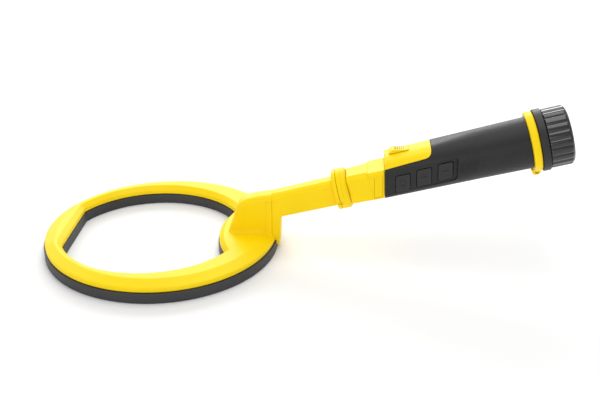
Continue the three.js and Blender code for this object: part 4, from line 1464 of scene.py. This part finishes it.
@dataclass
class Torch:
    """Torch on top of the handle: hood, lens and slide switch."""

    place: Matrix
    form: GripForm
    low_line: Sequence[Spot]
    end: float = 132.0
    wall: float = 2.0

    def build(self) -> None:
        """Makes the torch's pieces."""
        self.hood()
        self.lens()
        self.slider()

    def half_section(self) -> list[Spot]:
        """Lists the hood's half section from its lower edge to the middle of its roof."""
        return [(16.2, 9.0), (16.2, 12.2), (15.9, 12.9), (14.7, 14.5), (14.1, 15.0), (12.4, 15.95),
                (11.8, 16.2), (7.4, 17.4), (6.8, 17.55), (2.7, 18.08), (0.0, 18.15)]

    def clipped(self, low: float, count: int = 16) -> list[Spot]:
        """Gives the part of the half section above a height.

        Args:
            low: the height.
            count: number of points that are wanted.

        Returns:
            The points, from that height to the middle of the roof.
        """
        line = self.half_section()
        kept: list[Spot] = []
        for (y0, z0), (y1, z1) in zip(line, line[1:]):
            if z0 < low < z1:
                kept.append((y0 + (y1 - y0) * (low - z0) / (z1 - z0), low))
            if z1 >= low:
                kept.append((y1, z1))
        lengths = [0.0]
        for a, b in zip(kept, kept[1:]):
            lengths.append(lengths[-1] + math.dist(a, b))
        points = []
        for i in range(count):
            want = lengths[-1] * i / (count - 1)
            k = max(j for j in range(len(lengths) - 1) if lengths[j] <= want)
            t = (want - lengths[k]) / max(lengths[k + 1] - lengths[k], 1e-6)
            a, b = kept[k], kept[k + 1]
            points.append((a[0] + (b[0] - a[0]) * t, a[1] + (b[1] - a[1]) * t))
        return points

    def low_at(self, x: float) -> float:
        """Gives the height of the hood's lower edge.

        Args:
            x: place along the handle.

        Returns:
            The height there.
        """
        for (x0, z0), (x1, z1) in zip(self.low_line, self.low_line[1:]):
            if x0 <= x <= x1:
                return z0 + (z1 - z0) * (x - x0) / (x1 - x0)
        return self.low_line[-1][1]

    def hood(self) -> None:
        """Makes the hood: a thin roof over the lamp, with a window in front and a slot on top."""
        first = self.form.seam_x(10.4, 0.3)
        places = [100, 108, 116, 122, 126.4, 127.6, 128.8, 130.0, 130.9, 131.5, 131.9]
        rows = []
        for i, x in enumerate([first, *places]):
            half = self.clipped(self.low_at(x))
            both = half + [(-y, z) for y, z in reversed(half[:-1])]
            rows.append([(self.form.seam_x(z, 0.3) if i == 0 else x, y, z) for y, z in both])
        bm = skin(rows)
        inner = [(-14.2, 5), (14.2, 5), (14.0, 12.0), (12.6, 13.6), (5.5, 15.8), (-5.5, 15.8),
                 (-12.6, 13.6), (-14.0, 12.0)]
        cavity = skin([station(self.form.seam_x(13, 2.6), inner), station(126, inner)])
        window = block(85, 97, -8.0, 8.0, 12.7, 16.4)
        slot = plate([(103.4, 14), (113.2, 14), (113.2, 22), (103.4, 22)], -1.7, 1.7)
        bm = carved(bm, cavity, window, slot)
        round_edges(bm, 0.4, 3, 40, lambda m: m.x > first + 1.5 or m.z > 16.6)
        finished(bm, Label("torch_hood", "handle", "yellow_plastic", ("torch_housing",)), YELLOW,
                 self.place, sharp=26)

    def lens(self) -> None:
        """Makes the clear window of the torch."""
        x = self.form.seam_x
        bm = plate([(x(13, 0.6), 13), (x(13, 2.3), 13), (x(16.1, 2.3), 16.1), (x(16.1, 0.6), 16.1)],
                   -7.7, 7.7)
        round_edges(bm, 0.4, 3, 40)
        finished(bm, Label("torch_window", "handle", "clear_lens", ("torch_lens",)), LENS, self.place)

    def slider(self) -> None:
        """Makes the wedge of the slide switch, its stem, and the rows of dark dots under the thumb, which are
        painted shade for the shadowed grooves of the grip.
        """
        top = [(97.6, 18.4), (97.9, 19.1), (100.6, 20.85), (101.6, 21.15), (103.4, 20.75), (106, 20.0),
               (109, 19.4), (112, 19.05), (114.0, 18.95), (114.4, 18.4)]
        wedge = plate(top, -4.8, 4.8)
        round_edges(wedge, 0.8, 4, 50, lambda m: m.z > 18.6)
        stem = block(104, 108.6, -1.3, 1.3, 16.2, 18.9)
        finished(joined(wedge, stem), Label("slider_wedge", "torch_slider", "yellow_plastic",
                                            ("torch_slider",)), YELLOW, self.place, sharp=34)
        # Painted shade: small dark dots stand in for the shadows in the grip's grooves on top of the wedge.
        marks = []
        for x, z in ((103.6, 20.66), (105.3, 20.13), (107.0, 19.7), (108.7, 19.32), (110.4, 19.06)):
            for y in (-2.4, 0, 2.4):
                dot = turned([(-0.3, 0), (-0.3, 0.75), (0.1, 0.7), (0.22, 0.45), (0.26, 0)], 14)
                bmesh.ops.rotate(dot, verts=dot.verts[:], matrix=Matrix.Rotation(-math.pi / 2 + 0.24, 3, "Y"))
                bmesh.ops.translate(dot, verts=dot.verts[:], vec=(x, y, z))
                marks.append(dot)
        finished(joined(*marks), Label("slider_dots", "torch_slider", "charcoal_plastic"), SLIDER_DOT_SHADE,
                 self.place)


@dataclass
class ScrewCap:
    """Battery cap: matt body with a skirt, and a glossy ribbed shell over it."""

    place: Matrix
    start: float = 215.1
    end: float = 240.4
    skirt: float = 25.2
    skirt_length: float = 6.0
    bore: float = 20.1
    rib_radius: float = 24.2
    rib_depth: float = 1.0
    ribs: int = 22
    fine: int = 10

    def build(self) -> None:
        """Makes the two pieces of the cap."""
        a, e, r = self.start, self.end, self.skirt
        b = a + self.skirt_length
        deep = e - 7.4
        body = turned([
            (a, self.bore), (a, r - 0.7), (a + 0.2, r - 0.2), (a + 0.7, r), (b - 0.5, r),
            (b - 0.15, r - 0.15), (b, r - 0.5), (b, 21.9), (e - 2.6, 21.9), (e - 2.6, 0), (e - 4.6, 0),
            (e - 4.6, 12), (deep, 12), (deep, self.bore),
        ], 112)
        finished(body, Label("cap_skirt_body", "cap", "charcoal_plastic", ("cap_body",)), SKIRT,
                 self.place)
        self.shell(b + 0.3)

    def ribbed(self, x: float, drop: float, depth: float) -> list[Point]:
        """Gives a ribbed section of the shell.

        Args:
            x: place along the handle.
            drop: how far the ribs' tops lie under the largest radius.
            depth: depth of the grooves.

        Returns:
            Its points.
        """
        points = []
        count = self.ribs * self.fine
        for i in range(count):
            phase = (i % self.fine) / self.fine * 2 - 1
            hollow = depth * min(abs(phase) ** 3.2 * 1.05, 1.0)
            a = (i + 0.5) / count * FULL_TURN
            reach = self.rib_radius - drop - hollow
            points.append((x, reach * math.cos(a), reach * math.sin(a)))
        return points

    def shell(self, start: float) -> None:
        """Makes the ribbed shell, closed at the back by a dished face.

        Args:
            start: where it begins.
        """
        e, d = self.end, self.rib_depth
        rows = [
            self.ribbed(e - 2.3, 2.0, 0), self.ribbed(start, 2.0, 0), self.ribbed(start, 0.9, d * 0.7),
            self.ribbed(start + 0.3, 0.35, d), self.ribbed(start + 1.0, 0, d),
            self.ribbed(e - 3.4, 0, d), self.ribbed(e - 2.6, 0.15, d * 0.9),
            self.ribbed(e - 2.1, 0.45, d * 0.5), self.ribbed(e - 1.5, 0.9, d * 0.2),
            self.ribbed(e - 0.7, 1.7, 0), self.ribbed(e - 0.2, 2.7, 0), self.ribbed(e, 4.0, 0),
            self.ribbed(e, 6.2, 0), self.ribbed(e - 0.5, 6.8, 0), self.ribbed(e - 0.55, 15, 0),
        ]
        finished(skin(rows), Label("cap_grip_shell", "cap", "gloss_black_plastic",
                                   ("cap_ribbed_shell",)), GLOSS_BLACK, self.place, sharp=40)


@dataclass
class Inside:
    """Finishes of the CAD nodes that keep their own shape."""

    coil: Matrix

    def dress(self) -> None:
        """Gives each kept node its finish."""
        centre = self.coil.translation
        winding = WoundWire("winding_copper", (0.72, 0.33, 0.14), 0.3, centre=tuple(centre))
        finishes: dict[Finish, tuple[str, ...]] = {
            winding: ("coil_winding",),
            RESIN: ("coil_potting",),
            NYLON: ("plug_block", "socket_block", "tact_switch_1", "tact_switch_2", "tact_switch_3",
                    "torch_led"),
            BRASS: ("contact_pin_1", "contact_pin_2", "contact_pin_3", "socket_contact_1",
                    "socket_contact_2", "socket_contact_3", "front_contact"),
            STEEL: ("elbow_screw_1", "elbow_screw_2", "torch_reflector", "vibration_motor",
                    "cap_spring"),
            SEAL_RUBBER: ("spigot_o_ring", "cap_o_ring"),
            CHARCOAL: ("coil_lead", "buzzer", "battery_tube"),
            BOARD: ("circuit_board",),
            CELL: ("battery_cell",),
        }
        for finish, nodes in finishes.items():
            for name in nodes:
                mesh = frame["nodes"][name].data
                mesh.materials.clear()
                mesh.materials.append(finish.material())
                log.info("%s: finish %s", name, finish.name)


# ---------------------------------------------------------------- studio
@dataclass
class Studio:
    """Pale floor, soft lights and the camera."""

    target: Point = (-0.0004, 0.0, 0.0348)
    eye: Point = (0.03882, -0.64832, 0.35442)
    lens: float = 51.09

    def build(self) -> None:
        """Sets up the floor, the lights and the camera."""
        self.floor()
        self.lights()
        self.camera()

    def floor(self) -> None:
        """Lays the floor."""
        bm = bmesh.new()
        bmesh.ops.create_grid(bm, x_segments=4, y_segments=4, size=4)
        mesh = bpy.data.meshes.new("floor")
        bm.to_mesh(mesh)
        bm.free()
        mesh.transform(Matrix.Translation((0, 0, -0.0002)))
        mesh.materials.append(FLOOR.material())
        floor = bpy.data.objects.new("floor", mesh)
        bpy.context.scene.collection.objects.link(floor)

    def area(self, name: str, at: Point, size: Spot, power: float) -> None:
        """Hangs a soft box that faces the object.

        Args:
            name: the light's name.
            at: where it hangs.
            size: its width and height.
            power: its power in watts.
        """
        light = bpy.data.lights.new(name, "AREA")
        light.shape = "RECTANGLE"
        light.size, light.size_y = size
        light.energy = power
        lamp = bpy.data.objects.new(name, light)
        bpy.context.scene.collection.objects.link(lamp)
        lamp.matrix_world = aimed(Vector(at), Vector((0, 0, 0.04)))

    def lights(self) -> None:
        """Hangs the soft boxes and lights the surroundings."""
        self.area("top_box", (0.1, 0.0, 1.3), (1.5, 0.6), 6.5)
        self.area("back_box", (-0.3, 1.6, 0.9), (2.4, 0.9), 30)
        self.area("front_box", (-0.5, -1.6, 0.45), (1.6, 0.6), 5)
        world = bpy.data.worlds.new("studio")
        world.use_nodes = True
        background = world.node_tree.nodes["Background"]
        background.inputs["Color"].default_value = (1, 1, 1, 1)
        background.inputs["Strength"].default_value = 0.6
        bpy.context.scene.world = world

    def camera(self) -> None:
        """Stands the camera."""
        data = bpy.data.cameras.new("camera")
        data.lens, data.sensor_width = self.lens, 36
        data.clip_start, data.clip_end = 0.02, 20
        camera = bpy.data.objects.new("camera", data)
        bpy.context.scene.collection.objects.link(camera)
        camera.matrix_world = aimed(Vector(self.eye), Vector(self.target))
        bpy.context.scene.camera = camera
        bpy.context.scene.view_settings.view_transform = "Standard"


def aimed(at: Vector, target: Vector) -> Matrix:
    """Gives the matrix of a camera or lamp.

    Args:
        at: where it stands.
        target: what it points at.

    Returns:
        The matrix.
    """
    turn = (target - at).to_track_quat("-Z", "Y")
    return Matrix.Translation(at) @ turn.to_matrix().to_4x4()


def grown(outline: Sequence[Spot], gap: float) -> list[Spot]:
    """Moves each corner of an outline away from the outline's middle.

    Args:
        outline: its corners.
        gap: how far they move along x and along z.

    Returns:
        The moved corners.
    """
    cx = sum(x for x, _ in outline) / len(outline)
    cz = sum(z for _, z in outline) / len(outline)
    return [(x + math.copysign(gap, x - cx), z + math.copysign(gap, z - cz)) for x, z in outline]


def main() -> None:
    """Builds every piece, dresses the CAD nodes and sets up the studio."""
    logging.basicConfig(level=logging.INFO, format="%(name)s %(message)s")
    coil, handle = coil_place(), handle_place()
    form = GripForm()
    hood_low = [(form.seam_x(10.4, 0.3), 10.4), (126.4, 12.3), (128.6, 12.9), (130.2, 13.9), (131.2, 15.2),
                (131.8, 16.6), (132.0, 17.4)]
    hood_cut = [(x + (0.3 if x > 127 else 0), z - 0.3) for x, z in hood_low]
    hood_cut += [(132.3, 26), (form.seam_x(26, -0.1), 26)]
    hood_cut[0] = (form.seam_x(10.1, -0.1), 10.1)
    panel = [(form.seam_x(-12.4, 2.6), -12.4), (144.6, -10.9), (147.4, -9.2), (151, 6.6), (149.4, 8.4),
             (form.seam_x(7.6, 2.6), 7.6)]
    Studio().build()
    SearchHead(coil, handle).build()
    LockCollar(handle).build()
    HandleBody(handle, form).build()
    GripSleeve(handle, form, hood_cut, grown(panel, 0.1)).build()
    KeyPanel(handle, form, panel).build()
    Torch(handle, form, hood_low).build()
    ScrewCap(handle).build()
    Inside(coil).dress()


if __name__ == "__main__":
    main()
